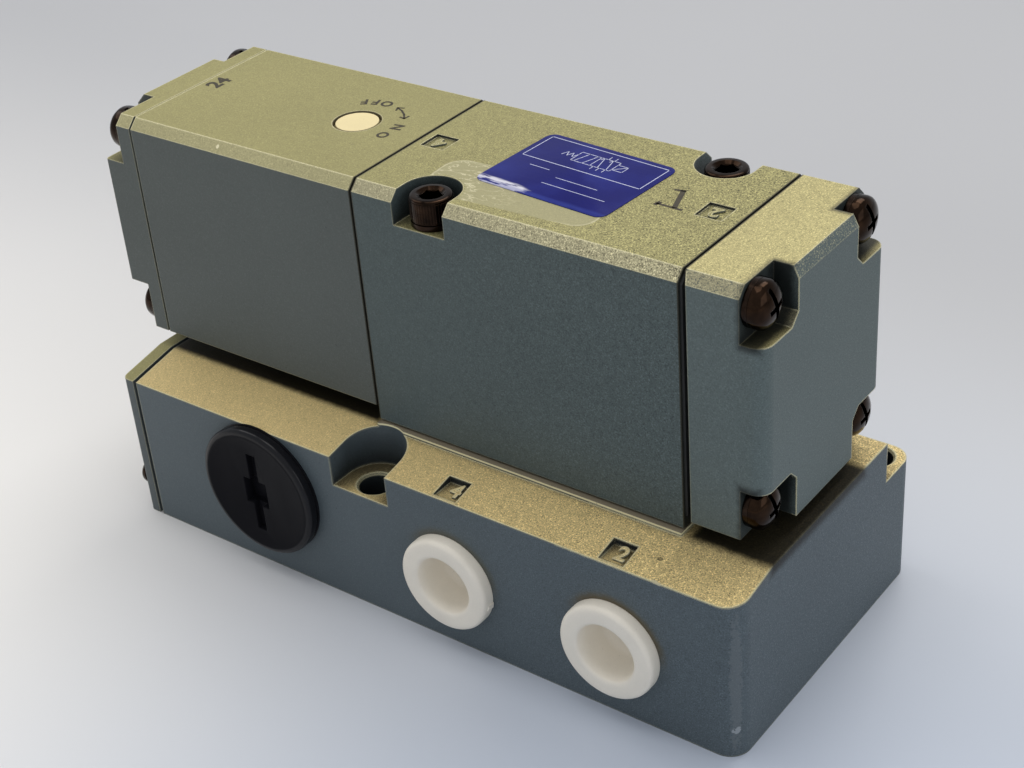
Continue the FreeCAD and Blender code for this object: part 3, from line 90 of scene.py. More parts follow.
class Signal:
    """A number that runs through a finish's nodes, and that Python's operators work on."""

    def __init__(self, graph: "Graph", socket: bpy.types.NodeSocket) -> None:
        """Wrap one output socket of a graph."""
        self.graph = graph
        self.socket = socket

    def _math(self, operation: str, *values: "Number", clamp: bool = False) -> "Signal":
        """A Math node on the given values.

        Args:
            operation: What it works out.
            *values: Its numbers.
            clamp: Keeps the result between 0 and 1.

        Returns:
            The result.
        """
        settings = {"operation": operation, "use_clamp": clamp}
        node = self.graph.node("ShaderNodeMath", settings, dict(enumerate(values)))
        return Signal(self.graph, node.outputs[0])

    def __add__(self, other: "Number") -> "Signal":
        """The sum."""
        return self._math("ADD", self, other)

    __radd__ = __add__

    def __sub__(self, other: "Number") -> "Signal":
        """This number less the other."""
        return self._math("SUBTRACT", self, other)

    def __rsub__(self, other: "Number") -> "Signal":
        """The other number less this one."""
        return self._math("SUBTRACT", other, self)

    def __mul__(self, other: "Number") -> "Signal":
        """The product."""
        return self._math("MULTIPLY", self, other)

    __rmul__ = __mul__

    def __truediv__(self, other: "Number") -> "Signal":
        """This number over the other."""
        return self._math("DIVIDE", self, other)

    def __rtruediv__(self, other: "Number") -> "Signal":
        """The other number over this one."""
        return self._math("DIVIDE", other, self)

    def __pow__(self, other: "Number") -> "Signal":
        """This number raised to the other."""
        return self._math("POWER", self, other)

    def __abs__(self) -> "Signal":
        """The number without its sign."""
        return self._math("ABSOLUTE", self)

    def most(self, other: "Number") -> "Signal":
        """The higher of two numbers."""
        return self._math("MAXIMUM", self, other)

    def sine(self) -> "Signal":
        """The sine of an angle in radians."""
        return self._math("SINE", self)

    def held(self) -> "Signal":
        """The number kept between 0 and 1."""
        return self._math("ADD", self, 0.0, clamp=True)

    def ramp(self, start: float, end: float) -> "Signal":
        """A smooth mask that is 0 at one value and 1 at the other.

        Args:
            start: The number that gives 0.
            end: The number that gives 1, which may be the lower of the two.

        Returns:
            The mask.
        """
        low, high = (start, end) if start < end else (end, start)
        ends = (0.0, 1.0) if start < end else (1.0, 0.0)
        sockets = {"Value": self, "From Min": low, "From Max": high, "To Min": ends[0], "To Max": ends[1]}
        settings = {"interpolation_type": "SMOOTHSTEP", "clamp": True}
        node = self.graph.node("ShaderNodeMapRange", settings, sockets)
        return Signal(self.graph, node.outputs[0])


Number = Union[float, Signal]
Tone = Union[Colour, bpy.types.NodeSocket]


class Graph:
    """The node tree of one finish round a Principled shader, with positions in millimetres."""

    def __init__(self, name: str) -> None:
        """Start an empty material.

        Args:
            name: Its name.
        """
        self.material = bpy.data.materials.new(name)
        self.material.use_nodes = True
        self.tree = self.material.node_tree
        self.tree.nodes.clear()

    def node(
        self,
        kind: str,
        settings: Optional[dict[str, object]] = None,
        sockets: Optional[dict[Union[int, str], object]] = None,
    ) -> bpy.types.Node:
        """Add one node.

        Args:
            kind: The node's type.
            settings: Its properties, which are set first.
            sockets: Values or links for its input sockets, by name or number.

        Returns:
            The new node.
        """
        node = self.tree.nodes.new(kind)
        for key, setting in (settings or {}).items():
            setattr(node, key, setting)
        for key, given in (sockets or {}).items():
            source = given.socket if isinstance(given, Signal) else given
            if isinstance(source, bpy.types.NodeSocket):
                self.tree.links.new(source, node.inputs[key])
            else:
                node.inputs[key].default_value = source
        return node

    def place(self, centre: Triple = (0, 0, 0), turn: Triple = (0, 0, 0)) -> bpy.types.NodeSocket:
        """The position on the piece in millimetres.

        Args:
            centre: The point that becomes the origin.
            turn: Turns about X, Y and Z in degrees that the pattern has on the piece.

        Returns:
            The position's vector socket.
        """
        spot = self.node("ShaderNodeTexCoord").outputs["Object"]
        sockets = {
            "Vector": spot,
            "Location": [part * MM for part in centre],
            "Rotation": turned(turn),
            "Scale": (MM, MM, MM),
        }
        return self.node("ShaderNodeMapping", {"vector_type": "TEXTURE"}, sockets).outputs[0]

    def parts(self, vector: bpy.types.NodeSocket) -> tuple[Signal, Signal, Signal]:
        """The X, Y and Z numbers of a vector."""
        split = self.node("ShaderNodeSeparateXYZ", sockets={0: vector})
        return tuple(Signal(self, part) for part in split.outputs)

    def stretched(self, vector: bpy.types.NodeSocket, scale: Triple) -> bpy.types.NodeSocket:
        """A position with its three parts multiplied."""
        return self.node("ShaderNodeVectorMath", {"operation": "MULTIPLY"}, {0: vector, 1: scale}).outputs[0]

    def noise(
        self, vector: bpy.types.NodeSocket, size: float, detail: float = 2.0, seed: float = 0.0
    ) -> Signal:
        """Soft noise about 0.

        Args:
            vector: The position in millimetres.
            size: The width of its blotches in millimetres.
            detail: How many finer layers it has.
            seed: Another number gives another pattern.

        Returns:
            Noise mostly from -0.5 to 0.5.
        """
        sockets = {"Vector": vector, "W": seed, "Scale": 1 / size, "Detail": detail}
        node = self.node("ShaderNodeTexNoise", {"noise_dimensions": "4D"}, sockets)
        return Signal(self, node.outputs[0]) - 0.5

    def cells(self, vector: bpy.types.NodeSocket, size: float) -> Signal:
        """The distance to the middle of the nearest of many scattered cells, from 0 to about 1."""
        node = self.node("ShaderNodeTexVoronoi", sockets={"Vector": vector, "Scale": 1 / size})
        return Signal(self, node.outputs["Distance"])

    def corner(self, reach: float) -> Signal:
        """How deep the surface lies in an inner corner.

        Args:
            reach: How far the corner is felt, in millimetres.

        Returns:
            0 in the open and up to 1 in the corner.
        """
        settings = {"samples": 3, "only_local": True}
        node = self.node("ShaderNodeAmbientOcclusion", settings, {"Distance": reach * MM})
        return 1.0 - Signal(self, node.outputs["AO"])

    def edge(self, rounded: bpy.types.NodeSocket) -> Signal:
        """How far a rounded normal leans from the true one.

        Args:
            rounded: The rounded normal.

        Returns:
            The angle in radians: about 0.8 at a square edge.
        """
        true = self.node("ShaderNodeNewGeometry").outputs["Normal"]
        lean = self.node("ShaderNodeVectorMath", {"operation": "DOT_PRODUCT"}, {0: true, 1: rounded})
        return (2.0 - 2.0 * Signal(self, lean.outputs["Value"])).held() ** 0.5

    def mixed(self, factor: Number, first: Tone, second: Tone) -> bpy.types.NodeSocket:
        """The first colour at factor 0 and the second at 1."""
        sockets = {0: factor, 6: first, 7: second}
        return self.node("ShaderNodeMix", {"data_type": "RGBA", "clamp_factor": True}, sockets).outputs[2]

    def shaded(self, colour: Tone, strength: Signal) -> bpy.types.NodeSocket:
        """A colour made lighter or darker.

        Args:
            colour: The colour.
            strength: What it is multiplied by.

        Returns:
            The new colour's socket.
        """
        source = colour if isinstance(colour, bpy.types.NodeSocket) else colour[:3]
        sockets = {0: source, "Scale": strength}
        return self.node("ShaderNodeVectorMath", {"operation": "SCALE"}, sockets).outputs[0]

    def relief(
        self, height: Signal, depth: float, under: Optional[bpy.types.NodeSocket] = None
    ) -> bpy.types.NodeSocket:
        """A normal that shows a height.

        Args:
            height: The height from 0 to 1.
            depth: What a height of 1 stands for, in millimetres.
            under: The normal that the height stands on.

        Returns:
            The normal's socket.
        """
        sockets = {"Height": height, "Distance": depth * MM}
        if under is not None:
            sockets["Normal"] = under
        return self.node("ShaderNodeBump", sockets=sockets).outputs[0]

    def rounded(self, radius: float) -> bpy.types.NodeSocket:
        """A normal that rounds sharp edges off by a radius in millimetres."""
        return self.node("ShaderNodeBevel", {"samples": 4}, {"Radius": radius * MM}).outputs[0]

    def finish(self, **sockets: object) -> bpy.types.Material:
        """Join the Principled shader to the output.

        Args:
            **sockets: Its input sockets, with _ for a space in the name.

        Returns:
            The finished material.
        """
        named = {key.replace("_", " "): given for key, given in sockets.items()}
        shader = self.node("ShaderNodeBsdfPrincipled", sockets=named)
        self.node("ShaderNodeOutputMaterial", sockets={"Surface": shader.outputs[0]})
        return self.material


# Finishes


@dataclass(frozen=True)
class Finish(ABC):
    """A way that a surface is finished."""

    name: str

    @abstractmethod
    def material(self) -> bpy.types.Material:
        """Build the finish's material."""


@dataclass(frozen=True)
class Spot:
    """A mark at one place of a painted casting: a chip, a stain, a nib, or a patch of painted light."""

    centre: Triple
    reach: Triple
    colour: Colour
    strength: float
    ragged: float = 0.5


@dataclass(frozen=True)
class Halo:
    """A faint stain that hugs the upper rim of a plug in the front face."""

    centre: Pair
    radius: float
    width: float
    colour: Colour
    strength: float
    face: float = -34.5


@dataclass(frozen=True)
class Zone:
    """A box between two corners in which something shows on a casting, fading out at its sides."""

    low: Triple
    high: Triple
    fade: float = 0.4
    strength: float = 0.97


@dataclass(frozen=True)
class PaintedShadow(Zone):
    """A painted shadow: a dark colour in a box where shade falls, such as under the valve or in a screw's
    notch.
    """

    colour: Colour = srgb(15, 15, 12)


@dataclass(frozen=True)
class Residue:
    """The thin film that an older label left on a casting's top, cut off round a screw's recess."""

    centre: Triple = (15.0, -10.3, 91.6)
    turn: float = 3.0
    size: Pair = (38.0, 14.4)
    corner: float = 4.0
    recess: Pair = (0.15, -17.4)
    recess_radius: float = 6.5
    colour: Colour = srgb(176, 170, 138)
    crease: Colour = srgb(222, 214, 176)


@dataclass(frozen=True)
class CastingPaint(Finish):
    """Metallic paint on a die casting, with painted light: golden khaki where it faces up and slate green on
    its sides, as light falls on it.
    """

    # Painted light: top, bevel and side are one paint, lighter where it faces up and darker on its sides.
    top: Colour = srgb(157, 150, 102)
    side: Colour = srgb(78, 86, 86)
    bevel: Colour = srgb(172, 165, 132)
    edge: Colour = srgb(236, 228, 186)
    # The bare pad's top, darkened as painted shade under the valve.
    bare_top_in_painted_shade: Colour = srgb(138, 128, 108)
    # The colour of the painted shade in hollows and inner corners.
    painted_corner_shade: Colour = srgb(24, 27, 26)
    joint: Colour = srgb(36, 33, 22)
    pit: Colour = srgb(30, 33, 32)
    grain: float = 0.27
    sparkle: float = 0.6
    spots: tuple[Spot, ...] = ()
    halos: tuple[Halo, ...] = ()
    # Painted shadows: dark boxes where shade falls.
    painted_shadows: tuple[PaintedShadow, ...] = ()
    seams: tuple[float, ...] = ()
    residue: Optional[Residue] = None
    bare_level: float = 0.0
    rounding: float = 0.4
    dusting: float = 0.0
    rims: tuple[Zone, ...] = ()

    def material(self) -> bpy.types.Material:
        """Build the paint with its flakes, orange peel, worn edges, marks and painted light and shade.

        Returns:
            The material.
        """
        graph = Graph(self.name)
        place = graph.place()
        rise = graph.parts(graph.node("ShaderNodeTexCoord").outputs["Normal"])[2]
        fine = graph.noise(place, self.grain, 1.0)
        broad = graph.noise(place, 1.5, 2.0, seed=3.0)
        flakes, gaps = fine.ramp(0.07, 0.2), fine.ramp(-0.07, -0.2)
        bevelled = (rise + (fine * 3.0 - 0.4) * self.dusting).ramp(0.3, 0.6)
        upward = rise.ramp(0.78, 0.95)
        film, crease = self._film(graph, upward) if self.residue else (0.0, 0.0)
        near = 0.6 + graph.parts(place)[0].ramp(-30.0, 60.0)
        strength = near * (0.45 + 0.55 * bevelled) * (1.0 - film * 0.6) * self.sparkle
        cloud = graph.noise(place, 26.0, 2.0, seed=7.0)
        tone = 1.0 + strength * (fine * 1.1 + broad * 0.4 + flakes * 0.4 - gaps * 0.22) + cloud * 0.2
        # Painted light: the lit top colour on faces that look up, the shaded side colour on the others.
        base = graph.mixed(upward, graph.mixed(bevelled, self.side, self.bevel), self.top)
        colour = graph.shaded(base, tone)
        if self.residue:
            colour = graph.mixed(film * 0.5, colour, self.residue.colour)
            colour = graph.mixed(crease * 0.7, colour, self.residue.crease)
        rounded = graph.rounded(self.rounding)
        deep = graph.corner(8.0)
        # Painted shade: the paint goes dark in hollows, notches and inner corners, where shade falls.
        colour = graph.mixed(deep.ramp(0.06, 0.3) * 0.88, colour, self.painted_corner_shade)
        worn = (graph.edge(rounded) + broad * 0.3 + fine * 0.25).ramp(0.1, 0.3) * deep.ramp(0.62, 0.4)
        colour = graph.mixed(worn * self._rubbed(graph, bevelled, broad), colour, self.edge)
        colour = self._marked(graph, colour, upward, broad)
        peel = 0.5 + fine * 0.6 + broad * 0.8
        return graph.finish(
            Base_Color=colour,
            Metallic=0.15,
            Roughness=(0.5 - flakes * 0.12 + broad * 0.1).held(),
            Normal=graph.relief(peel, 0.05, rounded),
            Specular_IOR_Level=0.25,
        )

    def _rubbed(self, graph: Graph, bevelled: Signal, patch: Signal) -> Signal:
        """How far an edge's paint is rubbed off.

        Args:
            graph: The paint's nodes.
            bevelled: The mask of the faces that look up at all.
            patch: Noise that breaks the rims' outlines.

        Returns:
            More on upper edges and on the paint's rims than on others.
        """
        share = 0.25 + 0.75 * bevelled
        for rim in self.rims:
            share = share.most(self._inside(graph, rim, patch))
        return share

    def _marked(self, graph: Graph, colour: Tone, upward: Signal, patch: Signal) -> Tone:
        """The paint with its bare pad, joints, pits, the stained rims round plugs, painted shadows and other
        marks.

        Args:
            graph: The paint's nodes.
            colour: The clean paint.
            upward: The mask of the faces that look up.
            patch: Noise that breaks the marks' outlines.

        Returns:
            The marked paint's colour.
        """
        place = graph.place()
        across, _, level = graph.parts(place)
        if self.bare_level:
            # The bare machined pad: its top darkened as painted shade under the valve, its narrow sides lit
            # cream as a painted highlight.
            pad = level.ramp(self.bare_level - 0.5, self.bare_level - 0.35)
            colour = graph.mixed(pad, colour, graph.mixed(upward, self.edge, self.bare_top_in_painted_shade))
        for seam in self.seams:
            colour = graph.mixed(abs(across - seam).ramp(0.3, 0.14) * 0.85, colour, self.joint)
        colour = graph.mixed(graph.cells(place, 3.4).ramp(0.07, 0.03) * 0.35, colour, self.pit)
        for halo in self.halos:
            colour = graph.mixed(self._ring(graph, halo, patch), colour, halo.colour)
        for spot in self.spots:
            colour = graph.mixed(self._mask(graph, spot), colour, spot.colour)
        # Painted shadows: dark colour in boxes where shade falls.
        for stain in self.painted_shadows:
            colour = graph.mixed(self._inside(graph, stain, patch), colour, stain.colour)
        return colour

    def _film(self, graph: Graph, upward: Signal) -> tuple[Signal, Signal]:
        """Where the old label's film lies.

        Args:
            graph: The paint's nodes.
            upward: The mask of the faces that look up.

        Returns:
            The mask of the film, and that of its bright creases and its right-hand edge.
        """
        place = graph.place(self.residue.centre, (0, 0, self.residue.turn))
        across, along, _ = graph.parts(place)
        patch = graph.noise(place, 1.2, 3.0, seed=11.0)
        ends = [side / 2 - self.residue.corner for side in self.residue.size]
        past = [(abs(part) - end).most(0.0) for part, end in zip((across, along), ends)]
        outside = (past[0] ** 2.0 + past[1] ** 2.0) ** 0.5 - self.residue.corner + patch * 0.5
        aside, ahead, _ = graph.parts(graph.place((*self.residue.recess, 0.0)))
        radius = self.residue.recess_radius
        clear = ((aside**2.0 + ahead**2.0) ** 0.5 + patch).ramp(radius - 0.3, radius + 0.3) * upward
        film = outside.ramp(0.15, -0.15) * clear
        folds = graph.noise(graph.stretched(place, (0.6, 1.4, 1.0)), 2.6, 4.0)
        lines = abs(folds).ramp(0.02, 0.004) * across.ramp(8.0, -10.0) * film
        rim = abs(outside + 0.15).ramp(0.3, 0.1) * abs(across).ramp(8.0, 18.0) * clear
        return film, lines.most(rim * (0.6 + patch * 1.4).held())

    @staticmethod
    def _ring(graph: Graph, halo: Halo, patch: Signal) -> Signal:
        """Where a stain round a plug shows.

        Args:
            graph: The paint's nodes.
            halo: The stain.
            patch: Noise that breaks its outline.

        Returns:
            A mask that fades outwards and downwards from the plug's rim.
        """
        across, along, up = graph.parts(graph.place((halo.centre[0], halo.face, halo.centre[1])))
        ring = (across**2.0 + up**2.0) ** 0.5 + patch * 0.8
        upper = (up + across * 0.3).ramp(halo.radius * 0.1, halo.radius * 0.8)
        return ring.ramp(halo.radius + halo.width, halo.radius) * upper * along.ramp(2.0, 0.5) * halo.strength

    @staticmethod
    def _inside(graph: Graph, zone: Zone, patch: Signal) -> Signal:
        """Where a zone shows.

        Args:
            graph: The paint's nodes.
            zone: The zone.
            patch: Noise that breaks its outline.

        Returns:
            A mask that fades out at the zone's sides.
        """
        parts = graph.parts(graph.place())
        below = [low - part for low, part in zip(zone.low, parts)]
        above = [part - high for part, high in zip(parts, zone.high)]
        outside = reduce(Signal.most, below + above)
        return (outside + patch * 0.6).ramp(zone.fade, -zone.fade) * zone.strength

    @staticmethod
    def _mask(graph: Graph, spot: Spot) -> Signal:
        """Where a mark shows.

        Args:
            graph: The paint's nodes.
            spot: The mark.

        Returns:
            A mask with a ragged outline.
        """
        across, along, up = graph.parts(graph.place(spot.centre))
        wide, deep, high = spot.reach
        near = (across / wide) ** 2.0 + (along / deep) ** 2.0 + (up / high) ** 2.0
        rough = graph.noise(graph.place(), 0.7, 3.0) * spot.ragged * 2.0
        return (near + rough).ramp(1.05, 0.7) * spot.strength


@dataclass(frozen=True)
class Metal(Finish):
    """Bare or bronzed metal with fine working marks and darker blotches."""

    colour: Colour
    dark: Colour
    roughness: float = 0.3
    blotch: float = 4.0
    marks: Triple = (1.0, 1.0, 1.0)
    depth: float = 0.01

    def material(self) -> bpy.types.Material:
        """Build the metal.

        Returns:
            The material.
        """
        graph = Graph(self.name)
        place = graph.place()
        cloud = graph.noise(place, self.blotch, 3.0)
        scratch = graph.noise(graph.stretched(place, self.marks), 0.25, 2.0, seed=5.0)
        # Painted shade: the metal is made darker in inner corners, where shade falls, and rougher there.
        painted_corner_shade = graph.corner(2.5).ramp(0.2, 0.75)
        colour = graph.mixed((0.5 + cloud * 1.6).held(), self.colour, self.dark)
        colour = graph.shaded(colour, 1.0 + scratch * 0.35 - painted_corner_shade * 0.6)
        rough = (self.roughness + cloud * 0.1 + scratch * 0.1 + painted_corner_shade * 0.2).held()
        normal = graph.relief(0.5 + scratch, self.depth, graph.rounded(0.12))
        return graph.finish(Base_Color=colour, Metallic=1.0, Roughness=rough, Normal=normal)


@dataclass(frozen=True)
class Plastic(Finish):
    """Moulded plastic with a faint texture, flow clouds and dust in its corners."""

    colour: Colour
    dust: Colour
    roughness: float = 0.4
    grain: float = 0.3
    bump: float = 0.02
    gloss: float = 0.0
    shine: float = 0.5
    bead: float = 0.0
    centre: Triple = (0.0, 0.0, 0.0)

    def material(self) -> bpy.types.Material:
        """Build the plastic, glossy all over or from the bead's radius outwards.

        Returns:
            The material.
        """
        graph = Graph(self.name)
        place = graph.place()
        cloud = graph.noise(place, 7.0, 2.0)
        fine = graph.noise(place, self.grain, 2.0, seed=2.0)
        corner = graph.corner(1.0).ramp(0.15, 0.8)
        colour = graph.shaded(self.colour, 1.0 + cloud * 0.14 + fine * 0.08)
        colour = graph.mixed(corner * 0.5, colour, self.dust)
        specks = graph.cells(place, 2.6).ramp(0.06, 0.02)
        colour = graph.mixed(specks * 0.4, colour, self.dust)
        rough = (self.roughness + cloud * 0.12 + fine * 0.1).held()
        normal = graph.relief(0.5 + fine * 0.5 + cloud, self.bump, graph.rounded(0.25))
        across, _, up = graph.parts(graph.place(self.centre))
        coat = ((across**2.0 + up**2.0) ** 0.5).ramp(self.bead - 0.3, self.bead) * self.gloss
        return graph.finish(
            Base_Color=colour,
            Roughness=rough,
            Normal=normal,
            Specular_IOR_Level=self.shine,
            Coat_Weight=coat,
            Coat_Roughness=0.1,
        )


@dataclass(frozen=True)
class Rubber(Finish):
    """Matt black seal rubber with bloom."""

    colour: Colour = srgb(30, 31, 32)
    bloom: Colour = srgb(72, 72, 70)

    def material(self) -> bpy.types.Material:
        """Build the rubber.

        Returns:
            The material.
        """
        graph = Graph(self.name)
        place = graph.place()
        cloud = graph.noise(place, 5.0, 3.0)
        fine = graph.noise(place, 0.25, 2.0, seed=4.0)
        colour = graph.mixed((cloud * 0.7 + fine * 0.5 + 0.2).held(), self.colour, self.bloom)
        rough = (0.72 + fine * 0.3).held()
        return graph.finish(Base_Color=colour, Roughness=rough, Normal=graph.relief(0.5 + fine, 0.03))


@dataclass(frozen=True)
class Winding(Finish):
    """Enamelled copper wire laid in layers along the coil."""

    wire: float = 0.45
    bright: Colour = srgb(196, 112, 62)
    dark: Colour = srgb(92, 44, 22)

    def material(self) -> bpy.types.Material:
        """Build the winding with one ridge for each turn of wire.

        Returns:
            The material.
        """
        graph = Graph(self.name)
        place = graph.place()
        along = graph.parts(place)[0]
        turns = (along * (2 * math.pi / self.wire)).sine() * 0.5 + 0.5
        cloud = graph.noise(place, 3.0, 2.0)
        # Painted shade: the wire is darker between its turns and lighter on their crests.
        colour = graph.mixed((turns + cloud * 0.5).held(), self.dark, self.bright)
        normal = graph.relief(turns, self.wire * 0.4)
        rough = (0.3 + cloud * 0.2).held()
        return graph.finish(Base_Color=colour, Metallic=0.9, Roughness=rough, Normal=normal)


@dataclass(frozen=True)
class LabelSheet:
    """The size and place of the label: the middle of its upper face, and its turn in degrees."""

    centre: Triple = (20.3, 0.6, 91.8)
    turn: float = -4.3
    length: float = 30.4
    width: float = 23.2


@dataclass(frozen=True)
class LabelPrint(Finish):
    """Deep blue film, scuffed to white fibres along the edge nearest the front."""

    sheet: LabelSheet = LabelSheet()
    blue: Colour = srgb(24, 27, 105)
    light: Colour = srgb(60, 74, 160)
    bare: Colour = srgb(214, 212, 222)

    def material(self) -> bpy.types.Material:
        """Build the film with its worn corner.

        Returns:
            The material.
        """
        graph = Graph(self.name)
        place = graph.place(self.sheet.centre, (0, 0, self.sheet.turn))
        across, along, _ = graph.parts(place)
        fine = graph.noise(place, 0.5, 3.0)
        streak = graph.noise(graph.stretched(place, (0.35, 1.6, 1.0)), 1.3, 4.0, seed=6.0)
        cloud = graph.noise(place, 9.0, 2.0, seed=2.0)
        inward = along + self.sheet.width / 2
        front = (inward + streak * 3.0).ramp(4.6, 1.2)
        left = (across + streak * 8.0).ramp(2.0, -7.0)
        colour = graph.shaded(self.blue, 1.0 + cloud * 0.5 + fine * 0.2)
        colour = graph.mixed((cloud * 2.2 + 0.1).held() * 0.35, colour, self.light)
        scuffed = (front * left * 0.75 + streak * 2.4 * front).ramp(0.42, 0.75)
        lifted = (inward + streak * 1.4).ramp(1.7, 0.9) * 0.8
        colour = graph.mixed((scuffed * 1.2).held(), colour, self.bare)
        colour = graph.mixed(lifted * (0.45 + streak), colour, self.light)
        rough = (0.4 + scuffed * 0.3 + cloud * 0.1).held()
        normal = graph.relief(0.5 + streak * 0.5 + scuffed, 0.03)
        return graph.finish(Base_Color=colour, Roughness=rough, Normal=normal, Specular_IOR_Level=0.1)


@dataclass(frozen=True)
class Ink(Finish):
    """Print or the dark paint in a stamped letter, thin in places."""

    colour: Colour
    faded: Colour

    def material(self) -> bpy.types.Material:
        """Build the ink.

        Returns:
            The material.
        """
        graph = Graph(self.name)
        place = graph.place()
        patchy = graph.noise(place, 0.6, 3.0)
        colour = graph.mixed((0.25 + patchy * 1.4).held(), self.colour, self.faded)
        normal = graph.relief(0.5 + patchy, 0.02)
        return graph.finish(Base_Color=colour, Roughness=(0.5 + patchy * 0.3).held(), Normal=normal)


@dataclass(frozen=True)
class TableTop(Finish):
    """The pale table, with painted light: lighter in front and darker behind, with a painted bluish shadow in
    front on the right.
    """

    near: Colour = srgb(244, 241, 237)
    far: Colour = srgb(190, 190, 192)
    cool: Colour = srgb(194, 202, 216)

    def material(self) -> bpy.types.Material:
        """Build the table top.

        Returns:
            The material.
        """
        graph = Graph(self.name)
        place = graph.place()
        across, along, _ = graph.parts(place)
        cloud = graph.noise(place, 140.0, 1.0)
        # Painted light falloff: lighter in front, darker behind.
        colour = graph.mixed(along.ramp(-90.0, 180.0), self.near, self.far)
        # Painted shadow: a cool, darker patch in front on the right, fading out far away.
        within = ((across**2.0 + along**2.0) ** 0.5).ramp(560.0, 220.0)
        cool = across.ramp(-110.0, 65.0) * along.ramp(160.0, -55.0) * within
        colour = graph.mixed(cool, colour, self.cool)
        colour = graph.shaded(colour, 1.0 + cloud * 0.05)
        return graph.finish(Base_Color=colour, Roughness=(0.42 + cloud * 0.1).held(), Specular_IOR_Level=0.3)


class PaintShop:
    """Keeps one material for each finish, so that pieces share it."""

    def __init__(self) -> None:
        """Start with no materials."""
        self._made: dict[str, bpy.types.Material] = {}

    def coat(self, piece: bpy.types.Object, finish: Finish) -> None:
        """Give a piece one finish all over.

        Args:
            piece: The mesh object.
            finish: The finish, whose name no other finish has.
        """
        if finish.name not in self._made:
            self._made[finish.name] = finish.material()
        material = self._made[finish.name]
        if not piece.material_slots:
            piece.data.materials.append(material)
        for place in piece.material_slots:
            place.material = material


SHOP = PaintShop()

BASE_SPOTS = (
    Spot((58.3, -34.46, 35.1), (1.2, 0.5, 0.4), srgb(216, 208, 176), 0.7, 1.6),
    Spot((55.9, -29.3, 36.1), (0.6, 0.5, 0.6), srgb(50, 44, 28), 0.7, 0.6),
    Spot((73.9, -33.3, 17.0), (1.3, 1.3, 17.0), srgb(112, 118, 121), 0.5, 1.6),
    Spot((74.1, -33.4, 6.4), (0.9, 1.2, 0.9), srgb(158, 164, 168), 0.8, 1.6),
)
PORT_HALOS = (
    Halo((9.7, 16.0), 10.4, 2.2, srgb(92, 86, 66), 0.6),
    Halo((48.1, 16.0), 10.4, 2.2, srgb(98, 84, 54), 0.75),
)
# Painted shade and shadow: a dim patch on the slope's right end, which the valve shades, and near-black shade
# on the deck under the housing and under the end cap.
DECK_PAINTED_SHADOWS = (
    PaintedShadow((58.0, -33.4, 36.1), (76.9, -20.0, 39.5), fade=1.8, colour=srgb(104, 94, 66), strength=0.3),
    PaintedShadow((-76.0, -22.0, 36.2), (-16.6, 19.0, 39.5), fade=1.1),
    PaintedShadow((57.6, -22.8, 35.5), (75.9, 13.0, 39.5), fade=1.4),
)
BASE_PAINT = CastingPaint(
    "base_paint",
    # Painted light: the top colour is lighter than on the other castings to make up for the shade that the
    # valve casts on the slope.
    top=srgb(214, 191, 134),
    side=srgb(88, 98, 103),
    sparkle=0.9,
    spots=BASE_SPOTS,
    halos=PORT_HALOS,
    painted_shadows=DECK_PAINTED_SHADOWS,
    bare_level=38.0,
    rounding=0.65,
    rims=(Zone((36.0, -36.0, 33.6), (76.9, 24.0, 38.4), fade=0.7, strength=0.75),),
)
BODY_PAINT = CastingPaint(
    "body_paint", side=srgb(82, 93, 93), sparkle=1.15, seams=(-15.7, 56.5), residue=Residue()
)
HOUSING_SPOTS = (
    Spot((-51.3, -21.2, 90.9), (0.5, 0.6, 0.6), srgb(236, 228, 190), 0.9, 0.2),
    # Painted light: the wall of the override's hole in khaki, to lighten the dark gap round the knob.
    Spot((-32.5, 0.0, 91.0), (5.3, 5.3, 3.0), srgb(150, 132, 86), 0.8, 0.05),
)
HOUSING_PAINT = CastingPaint(
    "housing_paint",
    side=srgb(88, 94, 92),
    bevel=srgb(172, 165, 124),
    sparkle=0.8,
    seams=(-16.2,),
    spots=HOUSING_SPOTS,
)

NOTCH_SIDES = (-16.5, 16.5)
NOTCH_LEVELS = (86.2, 46.0)
NOTCH_HALF_WIDTH = 6.6
NOTCH_HALF_HEIGHT = 6.2


def in_notches(kind: type[Zone], first: float, last: float, **look: object) -> tuple[Zone, ...]:
    """Zones in the end cap's four screw notches.

    Args:
        kind: What they are.
        first: Where along the valve they start.
        last: Where they end.
        **look: What else each is given.

    Returns:
        One zone for each notch.
    """
    half = Vector((0, NOTCH_HALF_WIDTH, NOTCH_HALF_HEIGHT))
    return tuple(
        kind(tuple(Vector((first, y, z)) - half), tuple(Vector((last, y, z)) + half), **look)
        for y in NOTCH_SIDES
        for z in NOTCH_LEVELS
    )


CAP_PAINT = CastingPaint(
    "cap_paint",
    top=srgb(187, 176, 124),
    side=srgb(96, 107, 106),
    bevel=srgb(158, 152, 122),
    sparkle=0.62,
    dusting=0.3,
    seams=(57.0,),
    # Painted shade: the four screw notches are painted nearly black round the screws, where shade falls.
    painted_shadows=in_notches(PaintedShadow, 67.9, 72.0, fade=0.9, colour=srgb(27, 30, 29), strength=0.85),
    rims=in_notches(Zone, 72.2, 74.6),
)
COVER_PAINT = CastingPaint("cover_paint", side=srgb(85, 92, 94))
SEAL_RUBBER = Rubber("seal_rubber")
BRONZED = Metal("bronzed_steel", srgb(60, 44, 33), srgb(18, 15, 13), roughness=0.11, blotch=2.4, depth=0.003)
BRONZED_WASHER = Metal("bronzed_washer", srgb(60, 46, 37), srgb(24, 20, 18), roughness=0.2, blotch=1.6)
STEEL = Metal("plain_steel", srgb(176, 177, 178), srgb(128, 128, 130), roughness=0.34, marks=(0.3, 1.0, 1.0))
GROUND_STEEL = Metal(
    "ground_steel", srgb(200, 201, 202), srgb(160, 160, 162), roughness=0.2, marks=(1.0, 0.2, 0.2)
)
